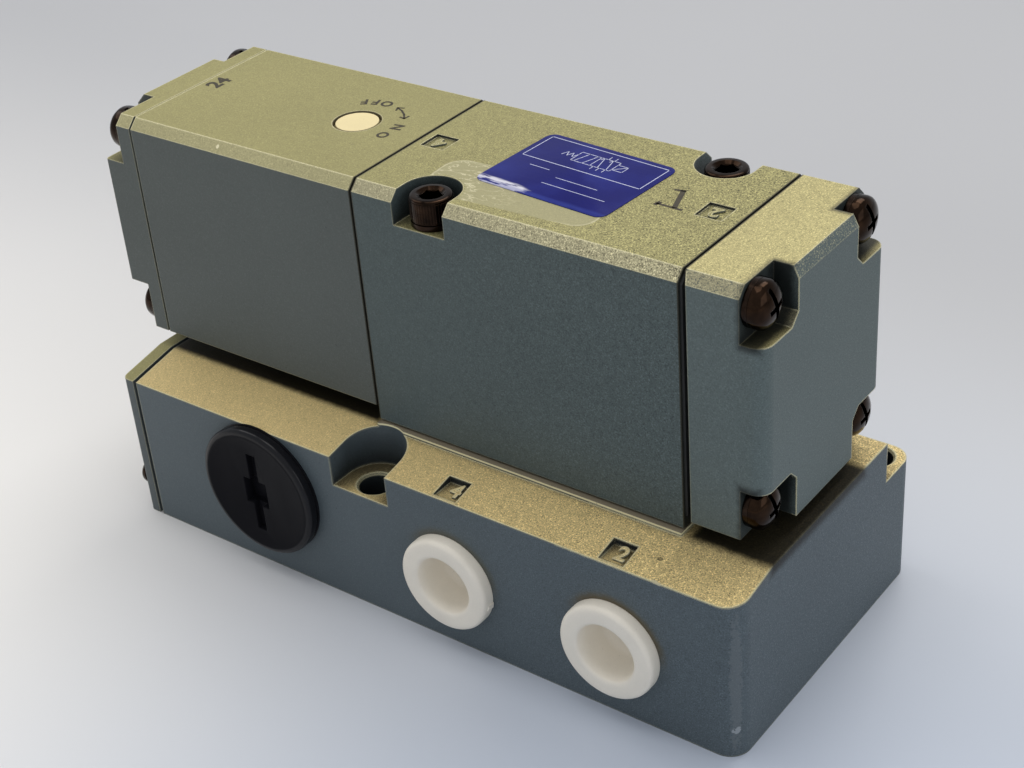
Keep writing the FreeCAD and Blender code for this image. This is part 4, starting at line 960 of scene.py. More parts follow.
ALUMINIUM = Metal(
    "turned_aluminium", srgb(206, 208, 210), srgb(170, 172, 176), roughness=0.26, marks=(1.0, 0.15, 0.15)
)
BRASS = Metal("bright_brass", srgb(214, 178, 96), srgb(168, 130, 62), roughness=0.28)
COPPER = Winding("copper_winding")
BLACK = Plastic("black_plastic", srgb(33, 33, 36), srgb(60, 60, 60), roughness=0.46, bump=0.012)
BLACK_GLOSS = Plastic(
    "black_plug_plastic",
    srgb(21, 21, 25),
    srgb(30, 30, 33),
    roughness=0.4,
    bump=0.004,
    gloss=0.4,
    shine=0.04,
    bead=14.0,
    centre=(-39.4, 0.0, 20.6),
)
WHITE = Plastic("white_plastic", srgb(243, 235, 220), srgb(200, 191, 174), roughness=0.42, bump=0.03)
CREAM = Plastic("cream_plastic", srgb(236, 218, 166), srgb(168, 132, 80), roughness=0.46, bump=0.03)
LABEL = LabelPrint("label_film")
STAMP_INK = Ink("stamp_ink", srgb(44, 36, 22), srgb(84, 74, 46))
WHITE_INK = Ink("white_ink", srgb(214, 216, 230), srgb(120, 130, 200))
TABLE = TableTop("table_top_paint")


# Modelling tools


class Axis(Enum):
    """The way that a piece's own Z axis points in the CAD frame, as turns about X, Y and Z in degrees."""

    UP = (0, 0, 0)
    RIGHT = (0, 90, 0)
    LEFT = (0, -90, 0)
    FRONT = (90, 0, 0)
    BACK = (-90, 0, 0)

    def step(self, length: float) -> Vector:
        """A step of the given length along the axis."""
        return turned(self.value).to_matrix() @ Vector((0, 0, length))


class Cap(Enum):
    """The two ends of a piece in its own frame."""

    TOP = 1
    FOOT = -1


def dome(radius: float, height: float, angles: Sequence[float]) -> list[Pair]:
    """Steps that round the end of a cylinder off.

    Args:
        radius: The cylinder's radius.
        height: The height of the whole dome.
        angles: The steps' ends on the dome's quarter circle, in degrees from its rim.

    Returns:
        The steps, as Workpiece.steps takes them.
    """
    bends = [math.radians(angle) for angle in angles]
    return [
        (radius * (math.cos(low) - math.cos(high)), height * (math.sin(high) - math.sin(low)))
        for low, high in zip(bends, bends[1:])
    ]


class Workpiece:
    """A mesh on the bench, shaped in edit mode in its own upright frame, in millimetres."""

    def __init__(self, piece: bpy.types.Object, name: str) -> None:
        """Take up an object under the given name."""
        self.piece = piece
        self.rename(name)

    @classmethod
    def start(cls, name: str, primitive: Callable[..., object], **settings: object) -> "Workpiece":
        """Start from what an operator adds.

        Args:
            name: The piece's name.
            primitive: The operator.
            **settings: Its settings.

        Returns:
            The workpiece.
        """
        bpy.ops.object.select_all(action="DESELECT")
        primitive(**settings)
        return cls(bpy.context.object, name)

    @classmethod
    def cylinder(
        cls,
        name: str,
        radius: float,
        height: float,
        foot: Sequence[float] = (0, 0, 0),
        axis: Axis = Axis.UP,
        sides: int = 64,
    ) -> "Workpiece":
        """Start from a cylinder.

        Args:
            name: The piece's name.
            radius: Its radius.
            height: Its height.
            foot: The middle of its foot in the CAD frame.
            axis: The way that it points.
            sides: The number of its sides.

        Returns:
            The workpiece.
        """
        return cls.start(
            name,
            bpy.ops.mesh.primitive_cylinder_add,
            vertices=sides,
            radius=radius * MM,
            depth=height * MM,
            location=(Vector(foot) + axis.step(height / 2)) * MM,
            rotation=turned(axis.value),
        )

    @classmethod
    def block(cls, name: str, size: Triple, centre: Sequence[float], turn: Triple = (0, 0, 0)) -> "Workpiece":
        """Start from a cube.

        Args:
            name: The piece's name.
            size: Its three sides.
            centre: Its middle in the CAD frame.
            turn: Its turns about X, Y and Z in degrees.

        Returns:
            The workpiece.
        """
        place = Vector(centre) * MM
        block = cls.start(
            name, bpy.ops.mesh.primitive_cube_add, size=MM, location=place, rotation=turned(turn), scale=size
        )
        bpy.ops.object.transform_apply(location=False, rotation=False, scale=True)
        return block

    def rename(self, name: str) -> "Workpiece":
        """Give the piece and its mesh a name.

        Args:
            name: The name.

        Returns:
            This workpiece.
        """
        self.piece.name = name
        self.piece.data.name = name
        return self

    def grip(self, *others: "Workpiece") -> None:
        """Select the piece alone, or with others, and make it the active one.

        Args:
            *others: The others.
        """
        bpy.ops.object.select_all(action="DESELECT")
        for workpiece in (self, *others):
            workpiece.piece.select_set(True)
        bpy.context.view_layer.objects.active = self.piece

    @contextmanager
    def editing(self) -> Iterator[bmesh.types.BMesh]:
        """Edit mode, with nothing selected at first.

        Returns:
            A context that gives the mesh that is edited.
        """
        self.grip()
        bpy.ops.object.mode_set(mode="EDIT")
        bpy.ops.mesh.select_all(action="DESELECT")
        yield bmesh.from_edit_mesh(self.piece.data)
        bpy.ops.object.mode_set(mode="OBJECT")

    def pick(self, mesh: bmesh.types.BMesh, test: Callable[[Vector, Vector], bool]) -> None:
        """Select the faces that pass a test.

        Args:
            mesh: The mesh that is edited.
            test: Takes a face's middle in millimetres and its normal.
        """
        bpy.ops.mesh.select_mode(type="FACE")
        for face in mesh.faces:
            face.select_set(test(face.calc_center_median() / MM, face.normal))
        bmesh.update_edit_mesh(self.piece.data)

    def steps(self, cap: Cap, moves: Sequence[Pair]) -> "Workpiece":
        """Draw one end out in steps.

        Args:
            cap: The end.
            moves: For each step, how far the outline goes in and how far the face goes out.

        Returns:
            This workpiece.
        """
        with self.editing() as mesh:
            level = max(vertex.co.z * cap.value for vertex in mesh.verts) / MM
            self.pick(mesh, lambda middle, normal: abs(middle.z * cap.value - level) < 1e-4)
            for inward, outward in moves:
                rise = {"value": (0, 0, outward * cap.value * MM), "orient_type": "LOCAL"}
                if inward > 0:
                    bpy.ops.mesh.inset(thickness=inward * MM, depth=0)
                    bpy.ops.transform.translate(**rise)
                else:
                    bpy.ops.mesh.extrude_region_move(TRANSFORM_OT_translate=rise)
        return self

    def scale_face(self, facing: Triple, share: float) -> "Workpiece":
        """Scale the faces that look one way.

        Args:
            facing: That way, along an axis of the piece's own frame.
            share: The factor, across that way.

        Returns:
            This workpiece.
        """
        with self.editing() as mesh:
            self.pick(mesh, lambda middle, normal: normal.dot(Vector(facing)) > 0.9)
            across = [1.0 if part else share for part in facing]
            bpy.ops.transform.resize(value=across, orient_type="LOCAL")
        return self

    def ease(self, inset: float) -> "Workpiece":
        """Draw a line round the upper face.

        Args:
            inset: How far in from its rim.

        Returns:
            This workpiece.
        """
        with self.editing() as mesh:
            self.pick(mesh, lambda middle, normal: normal.z > 0.9)
            bpy.ops.mesh.inset(thickness=inset * MM, depth=0)
        return self

    def band(self, low: float, high: float, margin: float, depth: float, every: int = 1) -> "Workpiece":
        """Sink side faces whose middles lie between two levels.

        Args:
            low: The lower level above the piece's middle.
            high: The upper level.
            margin: The width of the slope round what is sunk.
            depth: How far it is sunk.
            every: 2 sinks every other face on its own, for a knurl.

        Returns:
            This workpiece.
        """
        with self.editing() as mesh:
            self.pick(mesh, lambda middle, normal: abs(normal.z) < 0.5 and low < middle.z < high)
            chosen = sorted((face for face in mesh.faces if face.select), key=self._bearing)
            for number, face in enumerate(chosen):
                face.select_set(number % every == 0)
            bmesh.update_edit_mesh(self.piece.data)
            bpy.ops.mesh.inset(thickness=margin * MM, depth=-depth * MM, use_individual=every > 1)
        return self

    @staticmethod
    def _bearing(face: bmesh.types.BMFace) -> float:
        """The direction from the piece's axis in which a face lies."""
        middle = face.calc_center_median()
        return math.atan2(middle.y, middle.x)

    def soften(self, radius: float, test: Callable[[Vector, float], bool], segments: int) -> "Workpiece":
        """Round the edges whose middle and turn between faces pass a test.

        Args:
            radius: The width of the rounding.
            test: Takes the edge's middle in millimetres and the angle between its faces in degrees.
            segments: The number of faces across it.

        Returns:
            This workpiece.
        """
        with self.editing() as mesh:
            bpy.ops.mesh.select_mode(type="EDGE")
            for edge in mesh.edges:
                middle = (edge.verts[0].co + edge.verts[1].co) / 2 / MM
                edge.select_set(edge.is_manifold and test(middle, math.degrees(edge.calc_face_angle())))
            bmesh.update_edit_mesh(self.piece.data)
            bpy.ops.mesh.bevel(offset=radius * MM, segments=segments, affect="EDGES")
        return self

    def modify(self, kind: str, **settings: object) -> "Workpiece":
        """Add a modifier and apply it.

        Args:
            kind: Its type.
            **settings: Its settings.

        Returns:
            This workpiece.
        """
        self.grip()
        modifier = self.piece.modifiers.new(kind.title(), kind)
        for key, setting in settings.items():
            setattr(modifier, key, setting)
        bpy.ops.object.modifier_apply(modifier=modifier.name)
        return self

    def sweep(self, pitch: float, turns: float, sides: int) -> "Workpiece":
        """Sweep an outline along a helix round the Z axis, and close it.

        Args:
            pitch: How far one turn rises.
            turns: The number of turns.
            sides: The number of steps in a turn.

        Returns:
            This workpiece.
        """
        whole = max(1, round(turns))
        share = turns / whole
        return self.modify(
            "SCREW",
            axis="Z",
            angle=2 * math.pi * share,
            screw_offset=pitch * share * MM,
            iterations=whole,
            steps=sides,
            render_steps=sides,
            use_merge_vertices=False,
        )

    def cut(self, *tools: "Workpiece") -> "Workpiece":
        """Cut tools out of the piece and put them away.

        Args:
            *tools: The tools.

        Returns:
            This workpiece.
        """
        for tool in tools:
            self.modify("BOOLEAN", operation="DIFFERENCE", solver="EXACT", object=tool.piece)
            bpy.data.meshes.remove(tool.piece.data)
        return self

    def join(self, *others: "Workpiece") -> "Workpiece":
        """Make other workpieces part of this one.

        Args:
            *others: The others.

        Returns:
            This workpiece.
        """
        self.grip(*others)
        bpy.ops.object.join()
        return self

    def repeated(self, names: Sequence[str], places: Sequence[Sequence[float]]) -> list["Workpiece"]:
        """Name the piece, and set a copy with a mesh of its own at each further place.

        Args:
            names: The names of the piece and its copies.
            places: The piece's own place, then those of its copies, in the CAD frame.

        Returns:
            This workpiece and its copies.
        """
        made = [self.rename(names[0])]
        for name, place in zip(names[1:], places[1:]):
            self.grip()
            bpy.ops.object.duplicate(linked=False)
            twin = Workpiece(bpy.context.object, name)
            twin.piece.location += (Vector(place) - Vector(places[0])) * MM
            made.append(twin)
        return made

    def stand(self, foot: Sequence[float], axis: Axis) -> "Workpiece":
        """Stand a piece that was modelled at the origin at its place.

        Args:
            foot: Where its origin goes, in the CAD frame.
            axis: The way that its Z axis points.

        Returns:
            This workpiece.
        """
        self.piece.rotation_euler = turned(axis.value)
        self.piece.location = Vector(foot) * MM
        bpy.context.view_layer.update()
        return self

    def seal(self) -> "Workpiece":
        """Merge doubles, close small open ends and turn the faces outwards.

        Returns:
            This workpiece.
        """
        with self.editing():
            bpy.ops.mesh.select_all(action="SELECT")
            bpy.ops.mesh.remove_doubles(threshold=1e-7)
            bpy.ops.mesh.fill_holes(sides=8)
            bpy.ops.mesh.select_all(action="SELECT")
            bpy.ops.mesh.normals_make_consistent(inside=False)
        return self

    def deliver(
        self, finish: Finish, slot: str, replaces: Sequence[str] = (), smooth: float = 32.0
    ) -> bpy.types.Object:
        """Fix the piece's place, dress it and let it ride on the housing.

        Args:
            finish: Its finish.
            slot: The record's material slot; not used.
            replaces: The CAD nodes that it stands for.
            smooth: The angle in degrees above which an edge stays sharp.

        Returns:
            The finished object.
        """
        self.grip()
        bpy.ops.object.transform_apply(location=True, rotation=True, scale=True)
        bpy.ops.object.shade_smooth_by_angle(angle=math.radians(smooth))
        SHOP.coat(self.piece, finish)
        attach(self.piece, "housing")
        if replaces:
            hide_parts(*replaces)
        LOG.info("%s: %d faces, %s", self.piece.name, len(self.piece.data.polygons), finish.name)
        return self.piece


@dataclass(frozen=True)
class Thread:
    """A ridge along a helix, as high as root at the radius of its base and as high as crest at its tip."""

    base: float
    tip: float
    pitch: float
    turns: float
    root: float
    crest: float
    sides: int = 40

    def model(self, name: str, foot: Sequence[float], axis: Axis) -> Workpiece:
        """Sweep the ridge's section along the helix.

        Args:
            name: The workpiece's name.
            foot: Where the helix starts, in the CAD frame.
            axis: The way that it rises.

        Returns:
            A closed workpiece.
        """
        middle = (self.base + self.tip) / 2
        ridge = Workpiece.start(
            name,
            bpy.ops.mesh.primitive_plane_add,
            size=MM,
            location=(middle * MM, 0, 0),
            rotation=turned((90, 0, 0)),
        )
        bpy.ops.object.transform_apply(location=True, rotation=True, scale=True)
        with ridge.editing() as mesh:
            for vertex in mesh.verts:
                at_tip = (vertex.co.x / MM > middle) == (self.tip > self.base)
                vertex.co.x = (self.tip if at_tip else self.base) * MM
                vertex.co.z = math.copysign((self.crest if at_tip else self.root) / 2, vertex.co.z) * MM
            bmesh.update_edit_mesh(ridge.piece.data)
            bpy.ops.mesh.select_all(action="SELECT")
            bpy.ops.mesh.delete(type="ONLY_FACE")
        return ridge.sweep(self.pitch, self.turns, self.sides).seal().stand(foot, axis)


# Sub-assemblies


M5_SHANK = 2.5
THREAD_RUNOUT = 0.3


def m5_thread(turns: int, sides: int) -> Thread:
    """The thread on the shank of an M5 screw."""
    return Thread(M5_SHANK - 0.25, M5_SHANK - 0.02, pitch=0.8, turns=turns, root=0.7, crest=0.12, sides=sides)


@dataclass(frozen=True)
class SplitWasher:
    """The spring washer of an M5 screw: a ring with one cut, its ends a little apart."""

    rim: float
    height: float = 1.2
    rise: float = 0.12
    turns: float = 0.97
    play: float = 0.15
    gap: float = 0.04

    def model(self, seat: Sequence[float], axis: Axis) -> Workpiece:
        """Model the ring on its seat.

        Args:
            seat: The middle of the seat in the CAD frame.
            axis: The way that the screw's head points.

        Returns:
            The workpiece.
        """
        section = self.height - self.rise - self.gap
        ring = Thread(M5_SHANK + self.play, self.rim, self.rise, self.turns, section, section)
        lift = (self.height - self.rise) / 2 + self.gap / 4
        return ring.model("washer", Vector(seat) + axis.step(lift), axis)


@dataclass(frozen=True)
class CrossRecess:
    """The tapered cross in the head of a screw that lies along the valve."""

    span: float
    width: float
    depth: float
    taper: float

    def cut(self, screw: Workpiece, face: Vector, way: int, roll: float = 0.0) -> None:
        """Cut the cross into a screw's head, one arm after the other.

        Args:
            screw: The screw.
            face: The middle of its head's top.
            way: 1 for a head that points right, -1 for one that points left.
            roll: The cross's turn about the X axis in degrees.
        """
        deep = 2 * self.depth
        for size in ((deep, self.span, self.width), (deep, self.width, self.span)):
            arm = Workpiece.block("arm", size, face, (roll, 0, 0))
            screw.cut(arm.scale_face((-way, 0, 0), self.taper))


@dataclass
class HoldingScrews:
    """The two socket head screws that hold the valve on its subplate, with their split washers."""

    places: tuple[Triple, ...] = ((0.15, -17.4, 84.9), (42.65, 17.4, 84.9))
    washer: SplitWasher = SplitWasher(rim=4.25)
    head_radius: float = 4.25
    head_height: float = 5.0
    knurl_foot: float = 0.4
    knurl_height: float = 3.9
    knurl_margin: float = 0.03
    knurl_depth: float = 0.04
    crown: tuple[Pair, ...] = ((0.1, 0.0), (0.0, 0.35), (0.12, 0.16), (0.16, 0.1), (0.2, 0.06), (0.22, 0.03))
    underside: tuple[Pair, ...] = ((0.12, 0.0), (0.0, 0.25), (0.2, 0.15))
    socket: float = 4.0
    socket_depth: float = 2.8
    mouth_inset: float = 0.12
    mouth_foot: float = 0.1
    mouth_depth: float = 0.66
    mouth_flare: float = 1.42
    shank_end: float = 27.1
    point: Pair = (0.5, 0.6)
    thread_turns: int = 14

    def build(self) -> None:
        """Model one screw and one washer, and set a copy of each in the other recess."""
        for kind, first, finish, node in (
            ("screw", self._screw(), BRONZED, "valve_screws"),
            ("washer", self.washer.model(self.places[0], Axis.UP), BRONZED_WASHER, "spring_washers"),
        ):
            names = [f"holding_{kind}_{side}" for side in ("left", "right")]
            for piece in first.repeated(names, self.places):
                piece.deliver(finish, "bronzed_screw", [node])

    def _screw(self) -> Workpiece:
        """The knurled head with its hexagon socket, on a threaded shank.

        Returns:
            The workpiece.
        """
        x, y, floor = self.places[0]
        seat = floor + self.washer.height
        foot = (x, y, seat + self.knurl_foot)
        screw = Workpiece.cylinder("screw", self.head_radius, self.knurl_height, foot, sides=96)
        screw.band(-self.knurl_height, self.knurl_height, self.knurl_margin, self.knurl_depth, every=2)
        screw.steps(Cap.TOP, self.crown)
        neck = self.head_radius - M5_SHANK - sum(inward for inward, _ in self.underside)
        shank = seat - self.shank_end - self.point[1]
        screw.steps(Cap.FOOT, [*self.underside, (neck, 0.0), (0.0, shank), self.point])
        corner = self.socket / math.sqrt(3)
        top = seat + self.head_height
        place = (x, y, top - self.socket_depth)
        hexagon = Workpiece.cylinder("hexagon", corner, self.socket_depth + 1, place, sides=6)
        place = (x, y, top - self.mouth_depth)
        mouth = Workpiece.cylinder("mouth", corner - self.mouth_inset, self.mouth_foot, place, sides=48)
        rise = self.mouth_depth + self.mouth_foot
        mouth.steps(Cap.TOP, [(0.0, rise)]).scale_face((0, 0, 1), self.mouth_flare)
        screw.cut(hexagon, mouth)
        start = (x, y, self.shank_end + self.point[1] + THREAD_RUNOUT)
        return screw.join(m5_thread(self.thread_turns, 40).model("thread", start, Axis.UP))


@dataclass
class CoverScrews:
    """The pan head screws with a slot and a cross at the corners of both end covers."""

    sides: Pair = (-17.2, 17.2)
    levels: Pair = (87.0, 45.8)
    right_seat: float = 68.3
    left_seat: float = -79.8
    right_shank_end: float = 50.0
    left_shank_end: float = -9.2
    washer: SplitWasher = SplitWasher(rim=4.5, rise=0.14, turns=0.965)
    head_radius: float = 4.5
    rim: float = 1.0
    crown: float = 2.3
    bends: tuple[float, ...] = (0, 14, 28, 42, 55, 67, 78)
    point: Pair = (0.5, 0.6)
    cross: CrossRecess = CrossRecess(span=4.6, width=1.2, depth=1.8, taper=0.72)
    slot: float = 0.9
    slot_depth: float = 1.15
    turn: float = 15.5
    thread_turns: int = 12

    def build(self) -> None:
        """Model one screw and one washer for each cover, and copy them to the other corners."""
        ends = (
            ("end_cap", Axis.RIGHT, self.right_seat, self.right_seat - self.right_shank_end),
            ("solenoid_cover", Axis.LEFT, self.left_seat, self.left_shank_end - self.left_seat),
        )
        for cover, axis, seat, reach in ends:
            corners = [(seat, y, z) for y in self.sides for z in self.levels]
            for kind, first, finish, smooth in (
                ("screw", self._screw(corners[0], axis, reach), BRONZED, 38),
                ("washer", self.washer.model(corners[0], axis), BRONZED_WASHER, 32),
            ):
                names = [f"{cover}_{kind}_{number}" for number in range(1, 5)]
                for piece in first.repeated(names, corners):
                    piece.deliver(finish, "bronzed_screw", [f"{cover}_{kind}s"], smooth)

    def _screw(self, seat: Triple, axis: Axis, reach: float) -> Workpiece:
        """One screw at its corner.

        Args:
            seat: The middle of its washer's seat.
            axis: The way that its head points.
            reach: How far its shank goes in from the seat.

        Returns:
            The workpiece.
        """
        under = Vector(seat) + axis.step(self.washer.height)
        screw = Workpiece.cylinder("screw", self.head_radius, self.rim, under, axis, sides=56)
        screw.steps(Cap.TOP, dome(self.head_radius, self.crown, self.bends))
        shank = reach + self.washer.height - self.point[1]
        screw.steps(Cap.FOOT, [(self.head_radius - M5_SHANK, 0.0), (0.0, shank), self.point])
        face = under + axis.step(self.rim + self.crown)
        way = round(axis.step(1).x)
        roll = self.turn * way
        self.cross.cut(screw, face, way, roll)
        size = (2 * self.slot_depth, self.slot, self.head_radius * 2 + 1)
        screw.cut(Workpiece.block("slit", size, face, (roll, 0, 0)))
        start = Vector(seat) - axis.step(reach - self.point[1] - THREAD_RUNOUT)
        return screw.join(m5_thread(self.thread_turns, 32).model("thread", start, axis))


@dataclass
class TerminalCoverScrews:
    """The two small cross head screws that hold the cover of the wiring compartment."""

    places: tuple[Triple, ...] = ((-79.2, -31.0, 8.4), (-79.2, 31.0, 26.7))
    head_radius: float = 3.1
    rim: float = 0.7
    crown: float = 1.5
    bends: tuple[float, ...] = (0, 18, 36, 52, 66, 78)
    shank_radius: float = 1.75
    shank: float = 10.8
    point: Pair = (0.4, 0.4)
    cross: CrossRecess = CrossRecess(span=3.2, width=0.85, depth=1.3, taper=0.7)

    def build(self) -> None:
        """Model one screw and copy it."""
        place, axis = self.places[0], Axis.LEFT
        screw = Workpiece.cylinder("screw", self.head_radius, self.rim, place, axis, sides=40)
        screw.steps(Cap.TOP, dome(self.head_radius, self.crown, self.bends))
        screw.steps(Cap.FOOT, [(self.head_radius - self.shank_radius, 0.0), (0.0, self.shank), self.point])
        self.cross.cut(screw, Vector(place) + axis.step(self.rim + self.crown), way=-1)
        names = [f"terminal_cover_screw_{number}" for number in (1, 2)]
        for piece in screw.repeated(names, self.places):
            piece.deliver(BRONZED, "bronzed_screw", ["terminal_cover_screws"], smooth=38)


@dataclass
class ConduitPlug:
    """The black plug in the conduit entry: a beaded flange, a coin slot and a square socket."""

    centre: Triple = (-39.4, -34.5, 20.6)
    radius: float = 15.05
    foot: float = 0.35
    flange: float = 3.0
    ribs: tuple[Pair, ...] = ((0.0, 0.65), (0.0, 0.55), (0.0, 0.7))
    groove: Pair = (0.3, 0.9)
    groove_margin: float = 0.12
    groove_depth: float = 0.42
    rounding: tuple[Pair, ...] = ((0.14, 0.3), (0.3, 0.25), (0.5, 0.16), (0.8, 0.04), (0.35, -0.14))
    length: float = 8.0
    body_radius: float = 10.2
    point: Pair = (0.6, 0.8)
    wall: float = 1.2
    slot: Triple = (2.4, 3.2, 19.0)
    socket: Triple = (6.2, 5.2, 6.2)
    slot_rounding: float = 0.12
    slot_rim_level: float = 1.8
    slot_rim_angle: float = 60.0
    thread_sink: float = 0.4
    thread_rise: float = 0.08
    thread_pitch: float = 1.8
    thread_turns: int = 3
    thread_start: float = 1.6

    def build(self) -> None:
        """Model the plug in one piece."""
        plug = Workpiece.cylinder("black_conduit_plug", self.radius, self.foot, self.centre, Axis.FRONT, 112)
        plug.steps(Cap.TOP, self.ribs)
        plug.band(*self.groove, self.groove_margin, self.groove_depth)
        plug.steps(Cap.TOP, self.rounding)
        body = [(self.radius - self.body_radius, 0.0), (0.0, self.length - self.point[1]), self.point]
        plug.steps(Cap.FOOT, [*body, (self.wall, 0.0), (0.0, self.wall - self.length)])
        face = Vector(self.centre) + Axis.FRONT.step(self.flange)
        plug.cut(Workpiece.block("slit", self.slot, face), Workpiece.block("square", self.socket, face))
        plug.soften(self.slot_rounding, self._is_slot_rim, 2)
        base, tip = self.body_radius - self.thread_sink, self.body_radius + self.thread_rise
        thread = Thread(base, tip, self.thread_pitch, self.thread_turns, root=1.5, crest=0.2, sides=64)
        start = Vector(self.centre) + Axis.BACK.step(self.thread_start)
        plug.join(thread.model("thread", start, Axis.BACK))
        plug.deliver(BLACK_GLOSS, "black_plastic", ["conduit_plug"], smooth=30)

    def _is_slot_rim(self, middle: Vector, angle: float) -> bool:
        """True for a sharp edge of the slot and the socket in the plug's front face."""
        inside = math.hypot(middle.x, middle.y) < self.slot[2] / 2 + self.slot_rounding
        return angle > self.slot_rim_angle and inside and middle.z > self.slot_rim_level


@dataclass
class PortPlugs:
    """The two white dust plugs in the front ports: a soft flange round a tapered cup."""

    places: tuple[Triple, ...] = ((9.7, -34.5, 16.0), (48.1, -34.5, 16.0))
    flash_bearings: Pair = (-12, 196)
    radius: float = 10.4
    flange_side: float = 1.7
    hole: float = 6.3
    body_radius: float = 7.4
    length: float = 8.0
    point: Pair = (0.7, 1.0)
    lip: tuple[Pair, ...] = ((0.08, 0.5), (0.2, 0.38), (0.3, 0.22), (0.4, 0.08), (0.6, 0.02))
    brim: tuple[Pair, ...] = ((1.44, 0.0), (0.5, -0.06), (0.35, -0.16))
    funnel: float = 0.3
    cup: tuple[Pair, ...] = ((0.25, -2.0), (0.35, -4.2), (0.6, -0.9), (1.2, -0.7), (1.6, -0.3))
    flash_reach: float = 0.8
    flash_margin: float = 0.1
    flash_rise: float = 0.3

    def build(self) -> None:
        """Model one plug and copy it to the other port."""
        plug = Workpiece.cylinder("plug", self.radius, self.flange_side, self.places[0], Axis.FRONT, 96)
        shoulder = self.radius - self.body_radius
        plug.steps(Cap.FOOT, [(shoulder, 0.0), (0.0, self.length), self.point])
        rim = [*self.lip, *self.brim]
        mouth = self.radius - sum(inward for inward, _ in rim) - self.hole
        plug.steps(Cap.TOP, [*rim, (mouth, -self.funnel), *self.cup])
        plugs = plug.repeated(["white_port_plug_a", "white_port_plug_b"], self.places)
        for piece, node, bearing in zip(plugs, ("port_plug_a", "port_plug_b"), self.flash_bearings):
            self._add_flash(piece, math.radians(bearing))
            piece.deliver(WHITE, "white_plastic", [node], smooth=35)

    def _add_flash(self, plug: Workpiece, bearing: float) -> None:
        """Pull a little moulding flash out of the flange's rim.

        Args:
            plug: The plug.
            bearing: The flash's direction from the plug's middle, in radians.
        """
        spot = Vector((math.cos(bearing), math.sin(bearing), 0)) * self.radius
        with plug.editing() as mesh:
            plug.pick(
                mesh, lambda middle, normal: abs(normal.z) < 0.2 and (middle - spot).length < self.flash_reach
            )
            bpy.ops.mesh.inset(thickness=self.flash_margin * MM, depth=self.flash_rise * MM)


@dataclass
class PortThreads:
    """The pipe threads in the three open ports at the back."""

    places: tuple[Triple, ...] = ((-8.4, 34.5, 16.0), (20.4, 34.5, 16.0), (49.2, 34.5, 16.0))
    lead_in: float = 1.3
    radius: float = 7.48
    depth: float = 0.62
    sink: float = 0.05
    pitch: float = 1.337
    turns: int = 9

    def build(self) -> None:
        """Model one thread and copy it into the other ports."""
        base, tip = self.radius + self.sink, self.radius - self.depth
        form = Thread(base, tip, self.pitch, self.turns, root=1.2, crest=0.16, sides=56)
        start = Vector(self.places[0]) - Axis.BACK.step(self.turns * self.pitch + self.lead_in)
        first = form.model("thread", start, Axis.BACK)
        names = [f"rear_port_thread_{number}" for number in (1, 2, 3)]
        for thread in first.repeated(names, self.places):
            thread.deliver(BASE_PAINT, "casting_paint")


@dataclass
class ReturnSpring:
    """The coil spring between the spool's seat and the end cap."""

    seat: float = 51.2
    end: float = 69.0
    level: float = 65.5
    radius: float = 5.2
    wire: float = 0.6
    turns: float = 5.5
    closed_pitch: float = 1.26
    stroke: float = 3.0

    def build(self) -> None:
        """Wind the coil and close its end turns."""
        coil = Workpiece.start(
            "return_spring_coil",
            bpy.ops.mesh.primitive_circle_add,
            vertices=8,
            radius=self.wire * MM,
            location=(self.radius * MM, 0, 0),
            rotation=turned((90, 0, 0)),
        )
        bpy.ops.object.transform_apply(location=True, rotation=True, scale=True)
        height = self.end - self.seat - 2 * self.wire
        pitch = height / self.turns
        coil.sweep(pitch, self.turns, sides=40)
        with coil.editing() as mesh:
            for vertex in mesh.verts:
                part = math.atan2(vertex.co.y, vertex.co.x) / (2 * math.pi)
                turn = round(vertex.co.z / MM / pitch - part) + part
                vertex.co.z += (self._rise(turn, height) - turn * pitch) * MM
            bmesh.update_edit_mesh(coil.piece.data)
        coil.seal().stand((self.seat + self.wire, 0, self.level), Axis.RIGHT)
        spring = coil.deliver(GROUND_STEEL, "steel", ["return_spring"])
        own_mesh(spring)

    def _rise(self, turn: float, height: float) -> float:
        """How far along the coil a turn lies, with one closed turn at each end.

        Args:
            turn: The number of turns up to there.
            height: The height of the whole coil.

        Returns:
            The distance from the coil's start.
        """
        free = (height - 2 * self.closed_pitch) / (self.turns - 2)
        open_turns = min(max(turn - 1, 0), self.turns - 2)
        closed_turns = min(turn, 1) + max(turn - self.turns + 1, 0)
        return self.closed_pitch * closed_turns + free * open_turns


Line = tuple[float, float, float, float]


